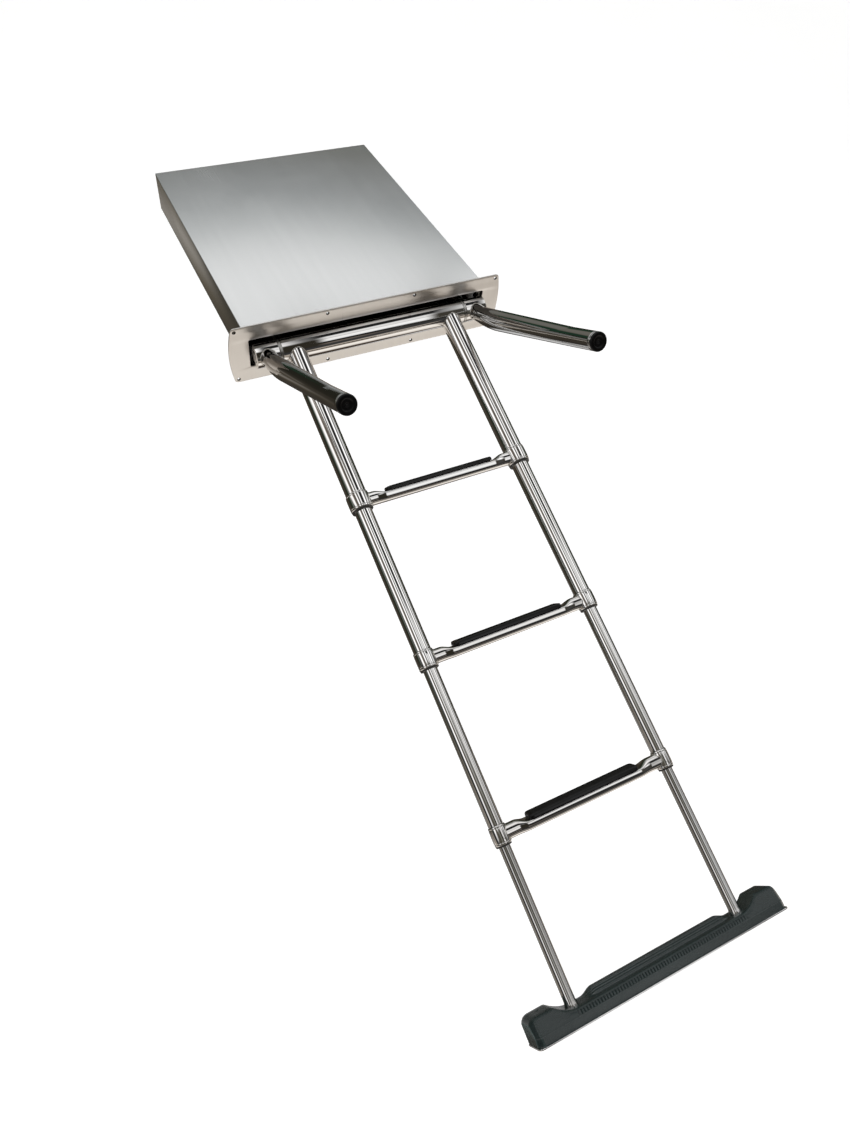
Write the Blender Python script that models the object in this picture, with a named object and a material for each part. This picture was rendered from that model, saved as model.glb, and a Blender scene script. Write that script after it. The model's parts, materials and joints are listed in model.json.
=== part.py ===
"""Slide-in boarding ladder for a boat, in its stainless stowage box.

A flat sheet-metal box is let into the hull or swim platform behind a screwed face flange.
A carriage slides in the box and carries a crossbar shaft. A four-section telescoping ladder
and two grab handles turn on that shaft.

Frame: metres, +Z up, +Y into the box, -Y outboard, origin at the centre of the flange's back
face. The ladder is drawn run out, fully extended and lifted to LADDER_DROP below level, with
the handles raised.

Ladder and handle pieces are modelled in a local frame that hangs on the crossbar's axis:
X across, Y out of the ladder's upper side, Z down the stiles.
"""

import math

import bmesh
import bpy
from mathutils import Matrix, Vector

# Clearances
GAP = 0.0003
RUNNING_GAP = 0.0003

# Face flange
FLANGE_HALF_LENGTH = 0.276
FLANGE_BOW = 0.008
FLANGE_HEIGHT = 0.1195
FLANGE_THICKNESS = 0.003
FLANGE_CORNER_RADIUS = 0.008
OPENING_WIDTH = 0.490
OPENING_HEIGHT = 0.0585
OPENING_CORNER_RADIUS = 0.003
HOLE_SPAN = 0.540
HOLES_PER_ROW = 4
HOLE_ROW_SPACING = 0.1046
HOLE_RADIUS = 0.0032

# Stowage box
BOX_WIDTH = 0.499
BOX_HEIGHT = 0.080
BOX_DEPTH = 0.608
SHEET = 0.0015

# Guide rails and the sliders in them
RAIL_START = 0.012
RAIL_END = 0.598
RAIL_HEIGHT = 0.034
RAIL_THICKNESS = 0.002
RAIL_DEPTH = 0.0075
SLIDER_LENGTH = 0.070
SLIDER_THICKNESS = 0.0044
STOP_LENGTH = 0.012

# Crossbar and carriage
PIVOT_Y = -0.015
SHAFT_RADIUS = 0.010
SHAFT_HALF_LENGTH = 0.2405
BORE_RADIUS = SHAFT_RADIUS + RUNNING_GAP
CROSSBAR_RADIUS = 0.022
SLEEVE_WALL = 0.002
SLEEVE_HALF_LENGTH = 0.1897
SLEEVE_END_LENGTH = 0.012
ARM_CENTRE = 0.1925
ARM_THICKNESS = 0.005
ARM_TAIL_HEIGHT = 0.028
ARM_TAIL_END = 0.075
TIE_BAR_SIZE = 0.020
TIE_BAR_WALL = 0.002

# Grab handles
HANDLE_CENTRE = 0.218
HANDLE_ROOT_ELEVATION = 17.0
HANDLE_BEND = 12.0
HANDLE_BEND_START = 0.055
HANDLE_BEND_LENGTH = 0.060
HANDLE_REACH = 0.423
HANDLE_RADIUS = 0.016
HANDLE_WALL = 0.0015
HUB_START = 0.1953
HUB_END = 0.2400
HUB_END_LENGTH = 0.006
CAP_THICKNESS = 0.0045
CAP_PLUG_LENGTH = 0.014
CAP_DISH_RADIUS = 0.006
CAP_DISH_DEPTH = 0.0018

# Ladder
LADDER_DROP = 18.8
STILE_CENTRE = 0.162
STILE_DIAMETERS = (0.0381, 0.0318, 0.0254, 0.01905)
TUBE_WALL = 0.0015
FIRST_RUNG = 0.3315
RUNG_PITCH = 0.305
COLLAR_EXTRA = 0.0020
COLLAR_ABOVE = 0.0155
COLLAR_BELOW = 0.0155
COLLAR_EDGE = 0.0012
COLLAR_BARREL = 0.0004
BUSH_ABOVE = 0.008
BUSH_LIP = 0.0025
GUIDE_LENGTH = 0.012
GUIDE_LIP = 0.002

# Rungs and treads
RUNG_RADIUS = 0.0127
RUNG_FLAT_HEIGHT = 0.0060
RUNG_FLAT_HALF_WIDTH = 0.0142
RUNG_FLAT_END = 0.1095
RUNG_ROUND_START = 0.133
TREAD_HALF_LENGTH = 0.1075
TREAD_HALF_WIDTH = 0.0140
TREAD_THICKNESS = 0.0070
TREAD_END_CHAMFER = 0.0040
TREAD_RIBS = 6
TREAD_RIB_HEIGHT = 0.0010
TREAD_TILT = math.radians(17.2)

# Bottom step
STEP_HALF_LENGTH = 0.240
STEP_BACK = -0.024
STEP_FRONT = 0.026
STEP_SOLE = 1.233
STEP_SURFACE = 1.210
STEP_RIDGE_TOP = 1.203
STEP_BLOCK_TOP = 1.194
STEP_BORE_END = 1.228
STEP_LEAN = 0.0015
STEP_EDGE_BEVEL = 0.002
RIDGE_FRONT = 0.0
RIDGE_TOP_END = 0.122
RIDGE_FOOT_END = 0.145
SCOOP_START = 0.158
SCOOP_END = 0.197
BLOCK_ROUND_START = 0.226
BLOCK_ROUND_DROP = 0.012
COVER_THICKNESS = 0.0025
COVER_OVERHANG = 0.0015

SEGMENTS = 24
HANDLE_SEGMENTS = 20
RUNG_SEGMENTS = 20
SHARP_ANGLE = math.radians(40)
SIDES = (("left", -1), ("right", 1))

FINISHES = {
    "polished_steel": ((0.72, 0.71, 0.69), 0.12, 1.0),
    "satin_steel": ((0.62, 0.61, 0.58), 0.38, 1.0),
    "box_steel": ((0.68, 0.69, 0.69), 0.30, 1.0),
    "step_plastic": ((0.030, 0.038, 0.040), 0.45, 0.0),
    "tread_rubber": ((0.012, 0.012, 0.013), 0.60, 0.0),
    "cap_plastic": ((0.010, 0.010, 0.011), 0.40, 0.0),
    "bush_plastic": ((0.045, 0.045, 0.045), 0.50, 0.0),
    "slider_plastic": ((0.75, 0.74, 0.70), 0.45, 0.0),
}


def clear_scene():
    for obj in list(bpy.data.objects):
        bpy.data.objects.remove(obj, do_unlink=True)


def finish(name):
    """The shared Principled material called name."""
    material = bpy.data.materials.get(name)
    if material is None:
        colour, roughness, metallic = FINISHES[name]
        material = bpy.data.materials.new(name)
        material.use_nodes = True
        shader = material.node_tree.nodes["Principled BSDF"]
        shader.inputs["Base Color"].default_value = (*colour, 1.0)
        shader.inputs["Roughness"].default_value = roughness
        shader.inputs["Metallic"].default_value = metallic
    return material


def add_object(name, mesh, parent=None, surface=None):
    """Link a mesh as an object under parent, with its material and smooth round faces."""
    obj = bpy.data.objects.new(name, mesh)
    bpy.context.scene.collection.objects.link(obj)
    obj.parent = parent
    if surface:
        mesh.materials.append(finish(surface))
        mesh.shade_smooth()
        mesh.set_sharp_from_angle(angle=SHARP_ANGLE)
    return obj


def add_joint_empty(name, location, elevation):
    """An empty on the crossbar's axis whose Z axis points out along the given elevation."""
    empty = bpy.data.objects.new(name, None)
    bpy.context.scene.collection.objects.link(empty)
    empty.location = location
    empty.rotation_euler = (math.radians(90.0 - elevation), 0.0, 0.0)
    return empty


def to_mesh(name, build):
    """A mesh from a function that fills a bmesh, with its faces turned outwards."""
    bm = bmesh.new()
    build(bm)
    bmesh.ops.recalc_face_normals(bm, faces=bm.faces)
    mesh = bpy.data.meshes.new(name)
    bm.to_mesh(mesh)
    bm.free()
    return mesh


def box_mesh(name, low, high):
    """A block between two opposite corners."""
    low = Vector(low)
    high = Vector(high)
    size = high - low
    place = Matrix.Translation((low + high) / 2) @ Matrix.Diagonal((*size, 1.0))
    return to_mesh(name, lambda bm: bmesh.ops.create_cube(bm, size=1.0, matrix=place))


def bridge_rings(bm, rings, closed):
    """Quads between each ring of vertices and the next, and back to the first if closed."""
    pairs = list(zip(rings, rings[1:]))
    if closed:
        pairs.append((rings[-1], rings[0]))
    for ring, following in pairs:
        count = len(ring)
        for i in range(count):
            j = (i + 1) % count
            bm.faces.new((ring[i], ring[j], following[j], following[i]))


def revolve_mesh(name, profile, axis="Z", offset=(0, 0, 0), segments=SEGMENTS):
    """A turned piece: profile holds (radius, height) corners, closed on itself.

    Where the profile starts and ends on the axis, those two ends are the piece's poles.
    """
    solid = profile[0][0] == 0.0
    corners = profile[1:-1] if solid else profile

    def place(radius, height, angle):
        across = radius * math.cos(angle)
        around = radius * math.sin(angle)
        point = (height, across, around) if axis == "X" else (across, around, height)
        return Vector(point) + Vector(offset)

    def build(bm):
        rings = []
        for radius, height in corners:
            angles = [2 * math.pi * i / segments for i in range(segments)]
            rings.append([bm.verts.new(place(radius, height, a)) for a in angles])
        bridge_rings(bm, rings, closed=not solid)
        if solid:
            for end, ring in ((profile[0], rings[0]), (profile[-1], rings[-1])):
                pole = bm.verts.new(place(0.0, end[1], 0.0))
                for i in range(segments):
                    bm.faces.new((pole, ring[i], ring[(i + 1) % segments]))

    return to_mesh(name, build)


def tube_mesh(name, outer_radius, inner_radius, start, end, axis="Z", offset=(0, 0, 0)):
    profile = [(outer_radius, start), (outer_radius, end), (inner_radius, end), (inner_radius, start)]
    return revolve_mesh(name, profile, axis, offset)


def rod_mesh(name, radius, start, end, axis="Z", offset=(0, 0, 0)):
    profile = [(0.0, start), (radius, start), (radius, end), (0.0, end)]
    return revolve_mesh(name, profile, axis, offset)


def loft_mesh(name, sections, hollow_sections=None):
    """A skin over sections, each a list of points in order around.

    With hollow_sections the piece is a tube: they are its inner skin, ring for ring.
    """
    def build(bm):
        rings = [[bm.verts.new(p) for p in section] for section in sections]
        if hollow_sections:
            rings += [[bm.verts.new(p) for p in section] for section in reversed(hollow_sections)]
            bridge_rings(bm, rings, closed=True)
        else:
            bridge_rings(bm, rings, closed=False)
            bm.faces.new(rings[0])
            bm.faces.new(rings[-1])

    return to_mesh(name, build)


def extrude_outline(name, outline, axis, low, high):
    """A plate whose outline lies across axis X or Y and which runs from low to high along it."""
    def place(point, along):
        first, second = point
        return (along, first, second) if axis == "X" else (first, along, second)

    return loft_mesh(name, [[place(p, low) for p in outline], [place(p, high) for p in outline]])


def rounded_rectangle(width, height, radius, steps=6):
    """Corner-rounded outline, centred, anticlockwise."""
    outline = []
    for quarter, (side, up) in enumerate(((1, 1), (-1, 1), (-1, -1), (1, -1))):
        centre = (side * (width / 2 - radius), up * (height / 2 - radius))
        for i in range(steps + 1):
            angle = math.pi / 2 * (quarter + i / steps)
            outline.append((centre[0] + radius * math.cos(angle), centre[1] + radius * math.sin(angle)))
    return outline


def cut(obj, cutter):
    """Take the cutter's shape out of obj and hide the cutter."""
    cutter.hide_render = True
    cutter.display_type = "WIRE"
    modifier = obj.modifiers.new(cutter.name, "BOOLEAN")
    modifier.operation = "DIFFERENCE"
    modifier.solver = "EXACT"
    modifier.object = cutter


# ---------------------------------------------------------------- housing

def flange_outline():
    """Long straight edges, ends bowed outwards, corners rounded."""
    outline = []
    half_height = FLANGE_HEIGHT / 2
    arc_radius = (half_height ** 2 + FLANGE_BOW ** 2) / (2 * FLANGE_BOW)
    arc_centre = FLANGE_HALF_LENGTH + FLANGE_BOW - arc_radius
    sweep = math.asin((half_height - FLANGE_CORNER_RADIUS) / arc_radius)
    tip = arc_centre + arc_radius * math.cos(sweep)
    corner_x = tip - FLANGE_CORNER_RADIUS
    corner_z = half_height - FLANGE_CORNER_RADIUS
    corner_steps = 6
    bow_steps = 12
    for side in (1, -1):
        for i in range(corner_steps):
            angle = -math.pi / 2 * (1 - i / corner_steps)
            x = corner_x + FLANGE_CORNER_RADIUS * math.cos(angle)
            z = -corner_z + FLANGE_CORNER_RADIUS * math.sin(angle)
            outline.append((side * x, side * z))
        for i in range(bow_steps + 1):
            angle = sweep * (2 * i / bow_steps - 1)
            x = arc_centre + arc_radius * math.cos(angle)
            z = arc_radius * math.sin(angle)
            outline.append((side * x, side * z))
        for i in range(1, corner_steps + 1):
            angle = math.pi / 2 * i / corner_steps
            x = corner_x + FLANGE_CORNER_RADIUS * math.cos(angle)
            z = corner_z + FLANGE_CORNER_RADIUS * math.sin(angle)
            outline.append((side * x, side * z))
    return outline


def build_flange():
    """Face flange with the mouth of the box and two rows of screw holes."""
    plate = extrude_outline("mounting_flange", flange_outline(), "Y", -FLANGE_THICKNESS, 0.0)
    flange = add_object("mounting_flange", plate, surface="satin_steel")
    mouth = rounded_rectangle(OPENING_WIDTH, OPENING_HEIGHT, OPENING_CORNER_RADIUS)
    reach = 2 * FLANGE_THICKNESS
    cut(flange, add_object("cut_mouth", extrude_outline("cut_mouth", mouth, "Y", -reach, reach)))
    hole_steps = 16
    for row in (-1, 1):
        for i in range(HOLES_PER_ROW):
            x = HOLE_SPAN * (i / (HOLES_PER_ROW - 1) - 0.5)
            z = row * HOLE_ROW_SPACING / 2
            outline = []
            for step in range(hole_steps):
                angle = 2 * math.pi * step / hole_steps
                outline.append((x + HOLE_RADIUS * math.cos(angle), z + HOLE_RADIUS * math.sin(angle)))
            name = f"cut_hole_{i}_{'upper' if row > 0 else 'lower'}"
            cut(flange, add_object(name, extrude_outline(name, outline, "Y", -reach, reach)))


def build_box():
    """Five welded sheets behind the flange, open towards the mouth."""
    half_width = BOX_WIDTH / 2
    half_height = BOX_HEIGHT / 2
    inner_width = half_width - SHEET
    inner_height = half_height - SHEET
    front = GAP
    for name, low in (("housing_cover", inner_height), ("housing_floor", -half_height)):
        corners = (-half_width, front, low), (half_width, BOX_DEPTH, low + SHEET)
        add_object(name, box_mesh(name, *corners), surface="box_steel")
    wall_height = inner_height - GAP
    for word, side in SIDES:
        name = f"housing_wall_{word}"
        inner, outer = sorted((side * inner_width, side * half_width))
        corners = (inner, front, -wall_height), (outer, BOX_DEPTH, wall_height)
        add_object(name, box_mesh(name, *corners), surface="box_steel")
    name = "housing_wall_back"
    reach = inner_width - GAP
    corners = (-reach, BOX_DEPTH - SHEET, -wall_height), (reach, BOX_DEPTH, wall_height)
    add_object(name, box_mesh(name, *corners), surface="box_steel")


def build_rails():
    """A channel on each side wall, open towards the carriage, with a rubber stop at its mouth."""
    web_outside = BOX_WIDTH / 2 - SHEET - GAP
    lip_inside = web_outside - RAIL_DEPTH
    half = RAIL_HEIGHT / 2
    for word, side in SIDES:
        outline = [
            (web_outside, -half), (web_outside, half), (lip_inside, half),
            (lip_inside, half - RAIL_THICKNESS), (web_outside - RAIL_THICKNESS, half - RAIL_THICKNESS),
            (web_outside - RAIL_THICKNESS, RAIL_THICKNESS - half), (lip_inside, RAIL_THICKNESS - half),
            (lip_inside, -half),
        ]
        outline = [(side * x, z) for x, z in outline]
        name = f"guide_rail_{word}"
        mesh = extrude_outline(name, outline, "Y", RAIL_START, RAIL_END)
        add_object(name, mesh, surface="satin_steel")
        name = f"rail_stop_{word}"
        low, high = slider_span(side)
        reach = half - RAIL_THICKNESS - GAP
        corners = (low, RAIL_START, -reach), (high, RAIL_START + STOP_LENGTH, reach)
        add_object(name, box_mesh(name, *corners), surface="tread_rubber")


# ---------------------------------------------------------------- carriage

def slider_span(side):
    """Where a slider lies across the box, inside its channel."""
    outside = BOX_WIDTH / 2 - SHEET - GAP - RAIL_THICKNESS - GAP
    return sorted((side * (outside - SLIDER_THICKNESS), side * outside))


def arm_outline():
    """A round eye at the shaft with a straight tail back into the box."""
    half_tail = ARM_TAIL_HEIGHT / 2
    meet = math.asin(half_tail / CROSSBAR_RADIUS)
    steps = 20
    outline = []
    for i in range(steps + 1):
        angle = meet + (2 * math.pi - 2 * meet) * i / steps
        outline.append((CROSSBAR_RADIUS * math.cos(angle), CROSSBAR_RADIUS * math.sin(angle)))
    outline.append((ARM_TAIL_END, -half_tail))
    outline.append((ARM_TAIL_END, half_tail))
    return outline


def build_carriage():
    """Shaft, two arms, tie bar and sliders: everything that only slides."""
    carriage = add_joint_empty("carriage", (0.0, PIVOT_Y, 0.0), 90.0)
    chamfer = 0.001
    end = SHAFT_HALF_LENGTH
    profile = [
        (0.0, -end), (SHAFT_RADIUS - chamfer, -end), (SHAFT_RADIUS, chamfer - end),
        (SHAFT_RADIUS, end - chamfer), (SHAFT_RADIUS - chamfer, end), (0.0, end),
    ]
    add_object("pivot_shaft", revolve_mesh("pivot_shaft", profile, "X"), carriage, "satin_steel")
    bore = rod_mesh("cut_arm_bores", BORE_RADIUS, -end, end, "X")
    bore_cutter = add_object("cut_arm_bores", bore, carriage)
    for word, side in SIDES:
        name = f"carriage_arm_{word}"
        centre = side * ARM_CENTRE
        low = centre - ARM_THICKNESS / 2
        arm = extrude_outline(name, arm_outline(), "X", low, low + ARM_THICKNESS)
        cut(add_object(name, arm, carriage, "satin_steel"), bore_cutter)
        name = f"slider_block_{word}"
        low, high = slider_span(side)
        reach = RAIL_HEIGHT / 2 - RAIL_THICKNESS - RUNNING_GAP
        front = RAIL_START + STOP_LENGTH + GAP - PIVOT_Y
        corners = (low, front, -reach), (high, front + SLIDER_LENGTH, reach)
        add_object(name, box_mesh(name, *corners), carriage, "slider_plastic")
    build_tie_bar(carriage)


def build_tie_bar(carriage):
    """Square tube across the arms' tails, from slider to slider."""
    start = ARM_TAIL_END + GAP
    middle = start + TIE_BAR_SIZE / 2
    reach = slider_span(1)[0] - GAP
    outer = rounded_rectangle(TIE_BAR_SIZE, TIE_BAR_SIZE, TIE_BAR_WALL, steps=2)
    inner_size = TIE_BAR_SIZE - 2 * TIE_BAR_WALL
    inner = rounded_rectangle(inner_size, inner_size, TIE_BAR_WALL / 2, steps=2)
    ends = (-reach, reach)
    skins = [[(x, middle + y, z) for y, z in outer] for x in ends]
    hollow = [[(x, middle + y, z) for y, z in inner] for x in ends]
    mesh = loft_mesh("carriage_tie_bar", skins, hollow)
    add_object("carriage_tie_bar", mesh, carriage, "satin_steel")


def bored_sleeve(name, start, end, end_length):
    """A thin sleeve along X with thick ends bored for the shaft."""
    inner = CROSSBAR_RADIUS - SLEEVE_WALL
    profile = [
        (CROSSBAR_RADIUS, start), (CROSSBAR_RADIUS, end), (BORE_RADIUS, end),
        (BORE_RADIUS, end - end_length), (inner, end - end_length),
        (inner, start + end_length), (BORE_RADIUS, start + end_length), (BORE_RADIUS, start),
    ]
    return revolve_mesh(name, profile, "X")


# ---------------------------------------------------------------- handles

def handle_stations():
    """Centre points and directions down the handle: straight, a gentle bend, straight."""
    bend = math.radians(HANDLE_BEND)
    bend_radius = HANDLE_BEND_LENGTH / bend
    stations = [((0.0, 0.0), 0.0)]
    bend_steps = 6
    for i in range(bend_steps + 1):
        angle = bend * i / bend_steps
        rise = bend_radius * (1 - math.cos(angle))
        run = HANDLE_BEND_START + bend_radius * math.sin(angle)
        stations.append(((rise, run), angle))
    (rise, run), angle = stations[-1]
    rest = math.sqrt(HANDLE_REACH ** 2 - rise ** 2) - run
    stations.append(((rise + rest * math.sin(angle), run + rest * math.cos(angle)), angle))
    return stations


def handle_ring(station, radius):
    """A circle square to the handle's direction at one station."""
    (rise, run), angle = station
    ring = []
    for i in range(HANDLE_SEGMENTS):
        turn = 2 * math.pi * i / HANDLE_SEGMENTS
        up = radius * math.sin(turn)
        ring.append((radius * math.cos(turn), rise + up * math.cos(angle), run - up * math.sin(angle)))
    return ring


def build_handles():
    stations = handle_stations()
    (tip_rise, tip_run), tip_angle = stations[-1]
    inner_radius = HANDLE_RADIUS - HANDLE_WALL
    plug_radius = inner_radius - GAP
    rounding = 0.0015
    cap_profile = [
        (0.0, -CAP_PLUG_LENGTH), (plug_radius, -CAP_PLUG_LENGTH), (plug_radius, GAP),
        (HANDLE_RADIUS, GAP), (HANDLE_RADIUS, CAP_THICKNESS - rounding),
        (HANDLE_RADIUS - rounding, CAP_THICKNESS), (CAP_DISH_RADIUS, CAP_THICKNESS),
        (CAP_DISH_RADIUS - rounding, CAP_THICKNESS - CAP_DISH_DEPTH),
        (0.0, CAP_THICKNESS - CAP_DISH_DEPTH),
    ]
    for word, side in SIDES:
        pivot = (side * HANDLE_CENTRE, PIVOT_Y, 0.0)
        handle = add_joint_empty(f"handle_{word}", pivot, HANDLE_ROOT_ELEVATION)
        start, end = sorted((side * HUB_START, side * HUB_END))
        name = f"handle_hub_{word}"
        hub = bored_sleeve(name, start - pivot[0], end - pivot[0], HUB_END_LENGTH)
        add_object(name, hub, handle, "polished_steel")
        name = f"handle_tube_{word}"
        outer = [handle_ring(s, HANDLE_RADIUS) for s in stations]
        inner = [handle_ring(s, inner_radius) for s in stations]
        tube = add_object(name, loft_mesh(name, outer, inner), handle, "polished_steel")
        cutter_name = f"cut_handle_root_{word}"
        saddle = rod_mesh(cutter_name, CROSSBAR_RADIUS + GAP, -0.03, 0.03, "X")
        cut(tube, add_object(cutter_name, saddle, handle))
        name = f"handle_cap_{word}"
        cap = add_object(name, revolve_mesh(name, cap_profile, segments=HANDLE_SEGMENTS), handle, "cap_plastic")
        cap.location = (0.0, tip_rise, tip_run)
        cap.rotation_euler = (-tip_angle, 0.0, 0.0)


# ---------------------------------------------------------------- ladder

def rung_place(section):
    """Distance of a section's rung from the pivot, down the ladder."""
    return FIRST_RUNG + RUNG_PITCH * (section - 1)


def collar_radius(section):
    return STILE_DIAMETERS[section - 1] / 2 + COLLAR_EXTRA


def build_stile(section, side, word, parent):
    """One tube of a section, from its guide at the top to its collar or the step."""
    radius = STILE_DIAMETERS[section - 1] / 2
    x = side * STILE_CENTRE
    start = 0.0 if section == 1 else guide_top(section) + GUIDE_LIP + GAP
    if section == len(STILE_DIAMETERS):
        end = STEP_BORE_END - GAP
    else:
        end = rung_place(section) - COLLAR_ABOVE - GAP
    name = f"stile_{section}_{word}"
    mesh = tube_mesh(name, radius, radius - TUBE_WALL, start, end, offset=(x, 0, 0))
    return add_object(name, mesh, parent, "polished_steel")


def guide_top(section):
    """Top of the ring that guides a section's tube inside the tube above."""
    return rung_place(section - 1) - BUSH_ABOVE - GAP - GUIDE_LENGTH


def build_guide(section, side, word, parent):
    """Ring round the top of an inner tube: it runs in the tube above and stops on the bush."""
    radius = STILE_DIAMETERS[section - 1] / 2
    bore_above = STILE_DIAMETERS[section - 2] / 2 - TUBE_WALL
    top = guide_top(section)
    outer = bore_above - RUNNING_GAP
    inner = radius + GAP
    lip = radius - TUBE_WALL
    profile = [
        (outer, top), (outer, top + GUIDE_LENGTH), (inner, top + GUIDE_LENGTH),
        (inner, top + GUIDE_LIP), (lip, top + GUIDE_LIP), (lip, top),
    ]
    name = f"guide_ring_{section}_{word}"
    mesh = revolve_mesh(name, profile, offset=(side * STILE_CENTRE, 0, 0))
    add_object(name, mesh, parent, "bush_plastic")


def build_collar(section, side, word, parent):
    """Collar at a section's lower end, with the bush that the next tube slides in."""
    x = side * STILE_CENTRE
    rung = rung_place(section)
    outer = collar_radius(section)
    bore = STILE_DIAMETERS[section - 1] / 2 - TUBE_WALL
    top = rung - COLLAR_ABOVE
    bottom = rung + COLLAR_BELOW
    profile = [
        (outer - COLLAR_EDGE, top), (outer - COLLAR_BARREL, top + COLLAR_EDGE), (outer, rung),
        (outer - COLLAR_BARREL, bottom - COLLAR_EDGE), (outer - COLLAR_EDGE, bottom),
        (bore, bottom), (bore, top),
    ]
    name = f"collar_{section}_{word}"
    add_object(name, revolve_mesh(name, profile, offset=(x, 0, 0)), parent, "polished_steel")
    slide_radius = STILE_DIAMETERS[section] / 2 + RUNNING_GAP
    body_radius = bore - GAP
    lip_radius = outer - COLLAR_EDGE
    lip_top = bottom + GAP
    profile = [
        (body_radius, rung - BUSH_ABOVE), (body_radius, lip_top), (lip_radius, lip_top),
        (lip_radius, lip_top + BUSH_LIP), (slide_radius, lip_top + BUSH_LIP),
        (slide_radius, rung - BUSH_ABOVE),
    ]
    name = f"collar_bush_{section}_{word}"
    add_object(name, revolve_mesh(name, profile, offset=(x, 0, 0)), parent, "bush_plastic")


def tilted_point(x, across, height, drop):
    """Point of a rung's section, turned so that the treads lie level when the ladder hangs."""
    outward = across * math.cos(TREAD_TILT) + height * math.sin(TREAD_TILT)
    upward = height * math.cos(TREAD_TILT) - across * math.sin(TREAD_TILT)
    return (x, outward, drop - upward)


def rung_ring(x, radius, flatness, drop):
    """Section of a rung: round at flatness 0, flat on top and bulged sideways at 1."""
    ring = []
    flat_height = RUNG_FLAT_HEIGHT - (RUNG_RADIUS - radius)
    bulge = 1 + flatness * (RUNG_FLAT_HALF_WIDTH / RUNG_RADIUS - 1)
    for i in range(RUNG_SEGMENTS):
        turn = 2 * math.pi * i / RUNG_SEGMENTS
        width = radius * math.cos(turn) * bulge
        height = radius * math.sin(turn)
        if height > 0:
            height += flatness * (min(height, flat_height) - height)
        ring.append(tilted_point(x, width, height, drop))
    return ring


def rung_stations():
    """Places along a rung with how far it is pressed flat at each."""
    reach = STILE_CENTRE
    blend_steps = 3
    stations = [(-reach, 0.0)]
    for i in range(blend_steps + 1):
        share = i / blend_steps
        x = -RUNG_ROUND_START + (RUNG_ROUND_START - RUNG_FLAT_END) * share
        stations.append((x, share * share * (3 - 2 * share)))
    return stations + [(-x, flatness) for x, flatness in reversed(stations)]


def build_rung(section, parent):
    """Rung between a section's collars, pressed flat under its tread."""
    drop = rung_place(section)
    name = f"rung_{section}"
    outer = [rung_ring(x, RUNG_RADIUS, flat, drop) for x, flat in rung_stations()]
    inner = [rung_ring(x, RUNG_RADIUS - TUBE_WALL, flat, drop) for x, flat in rung_stations()]
    rung = add_object(name, loft_mesh(name, outer, inner), parent, "polished_steel")
    for word, side in SIDES:
        cutter_name = f"cut_{name}_{word}"
        radius = collar_radius(section) + GAP
        above = drop - 2 * RUNG_RADIUS
        below = drop + 2 * RUNG_RADIUS
        saddle = rod_mesh(cutter_name, radius, above, below, offset=(side * STILE_CENTRE, 0, 0))
        cut(rung, add_object(cutter_name, saddle, parent))


def tread_outline(x, drop, height_share):
    """Section of a tread: flat seat, lengthwise ribs on top; height_share thins it at the ends."""
    seat = RUNG_FLAT_HEIGHT + GAP
    outline = [(-TREAD_HALF_WIDTH, seat), (TREAD_HALF_WIDTH, seat)]
    edges = 2 * TREAD_RIBS - 1
    for i in range(edges + 1):
        across = TREAD_HALF_WIDTH * (1 - 2 * i / edges)
        in_groove = i % 4 in (1, 2)
        thickness = TREAD_THICKNESS - (TREAD_RIB_HEIGHT if in_groove else 0.0)
        outline.append((across, seat + thickness * height_share))
    return [tilted_point(x, across, height, drop) for across, height in outline]


def build_tread(section, parent):
    """Rubber tread on a rung's flat, its ends sloped off."""
    drop = rung_place(section)
    name = f"tread_{section}"
    full = TREAD_HALF_LENGTH - TREAD_END_CHAMFER
    end_share = 0.5
    places = ((-TREAD_HALF_LENGTH, end_share), (-full, 1.0), (full, 1.0), (TREAD_HALF_LENGTH, end_share))
    sections = [tread_outline(x, drop, share) for x, share in places]
    add_object(name, loft_mesh(name, sections), parent, "tread_rubber")


def build_section_1(ladder):
    """Top section: it turns on the shaft, so it carries the crossbar sleeve."""
    sleeve = bored_sleeve("crossbar_sleeve", -SLEEVE_HALF_LENGTH, SLEEVE_HALF_LENGTH, SLEEVE_END_LENGTH)
    add_object("crossbar_sleeve", sleeve, ladder, "polished_steel")
    reach = SLEEVE_HALF_LENGTH
    saddle = rod_mesh("cut_crossbar_saddle", CROSSBAR_RADIUS + GAP, -reach, reach, "X")
    cutter = add_object("cut_crossbar_saddle", saddle, ladder)
    for word, side in SIDES:
        cut(build_stile(1, side, word, ladder), cutter)


def build_ladder():
    pivot = (0.0, PIVOT_Y, 0.0)
    last = len(STILE_DIAMETERS)
    for section in range(1, last + 1):
        ladder = add_joint_empty(f"section_{section}", pivot, -LADDER_DROP)
        if section == 1:
            build_section_1(ladder)
        else:
            for word, side in SIDES:
                build_stile(section, side, word, ladder)
                build_guide(section, side, word, ladder)
        if section < last:
            for word, side in SIDES:
                build_collar(section, side, word, ladder)
            build_rung(section, ladder)
            build_tread(section, ladder)
        else:
            build_step(ladder)


# ---------------------------------------------------------------- bottom step

def share_between(value, start, end):
    """0 before start, 1 after end, straight in between."""
    return min(max((value - start) / (end - start), 0.0), 1.0)


def step_tops(x):
    """Where the step's top edge and its ridge stand at a place along it, down the ladder."""
    away = abs(x)
    block = share_between(away, SCOOP_START, SCOOP_END) ** 2
    ridge = 1 - share_between(away, RIDGE_TOP_END, RIDGE_FOOT_END)
    rounding = share_between(away, BLOCK_ROUND_START, STEP_HALF_LENGTH)
    round_drop = BLOCK_ROUND_DROP * (1 - math.sqrt(1 - rounding ** 2))
    edge = STEP_SURFACE - block * (STEP_SURFACE - STEP_BLOCK_TOP) + round_drop
    return edge, edge - ridge * (STEP_SURFACE - STEP_RIDGE_TOP)


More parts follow.
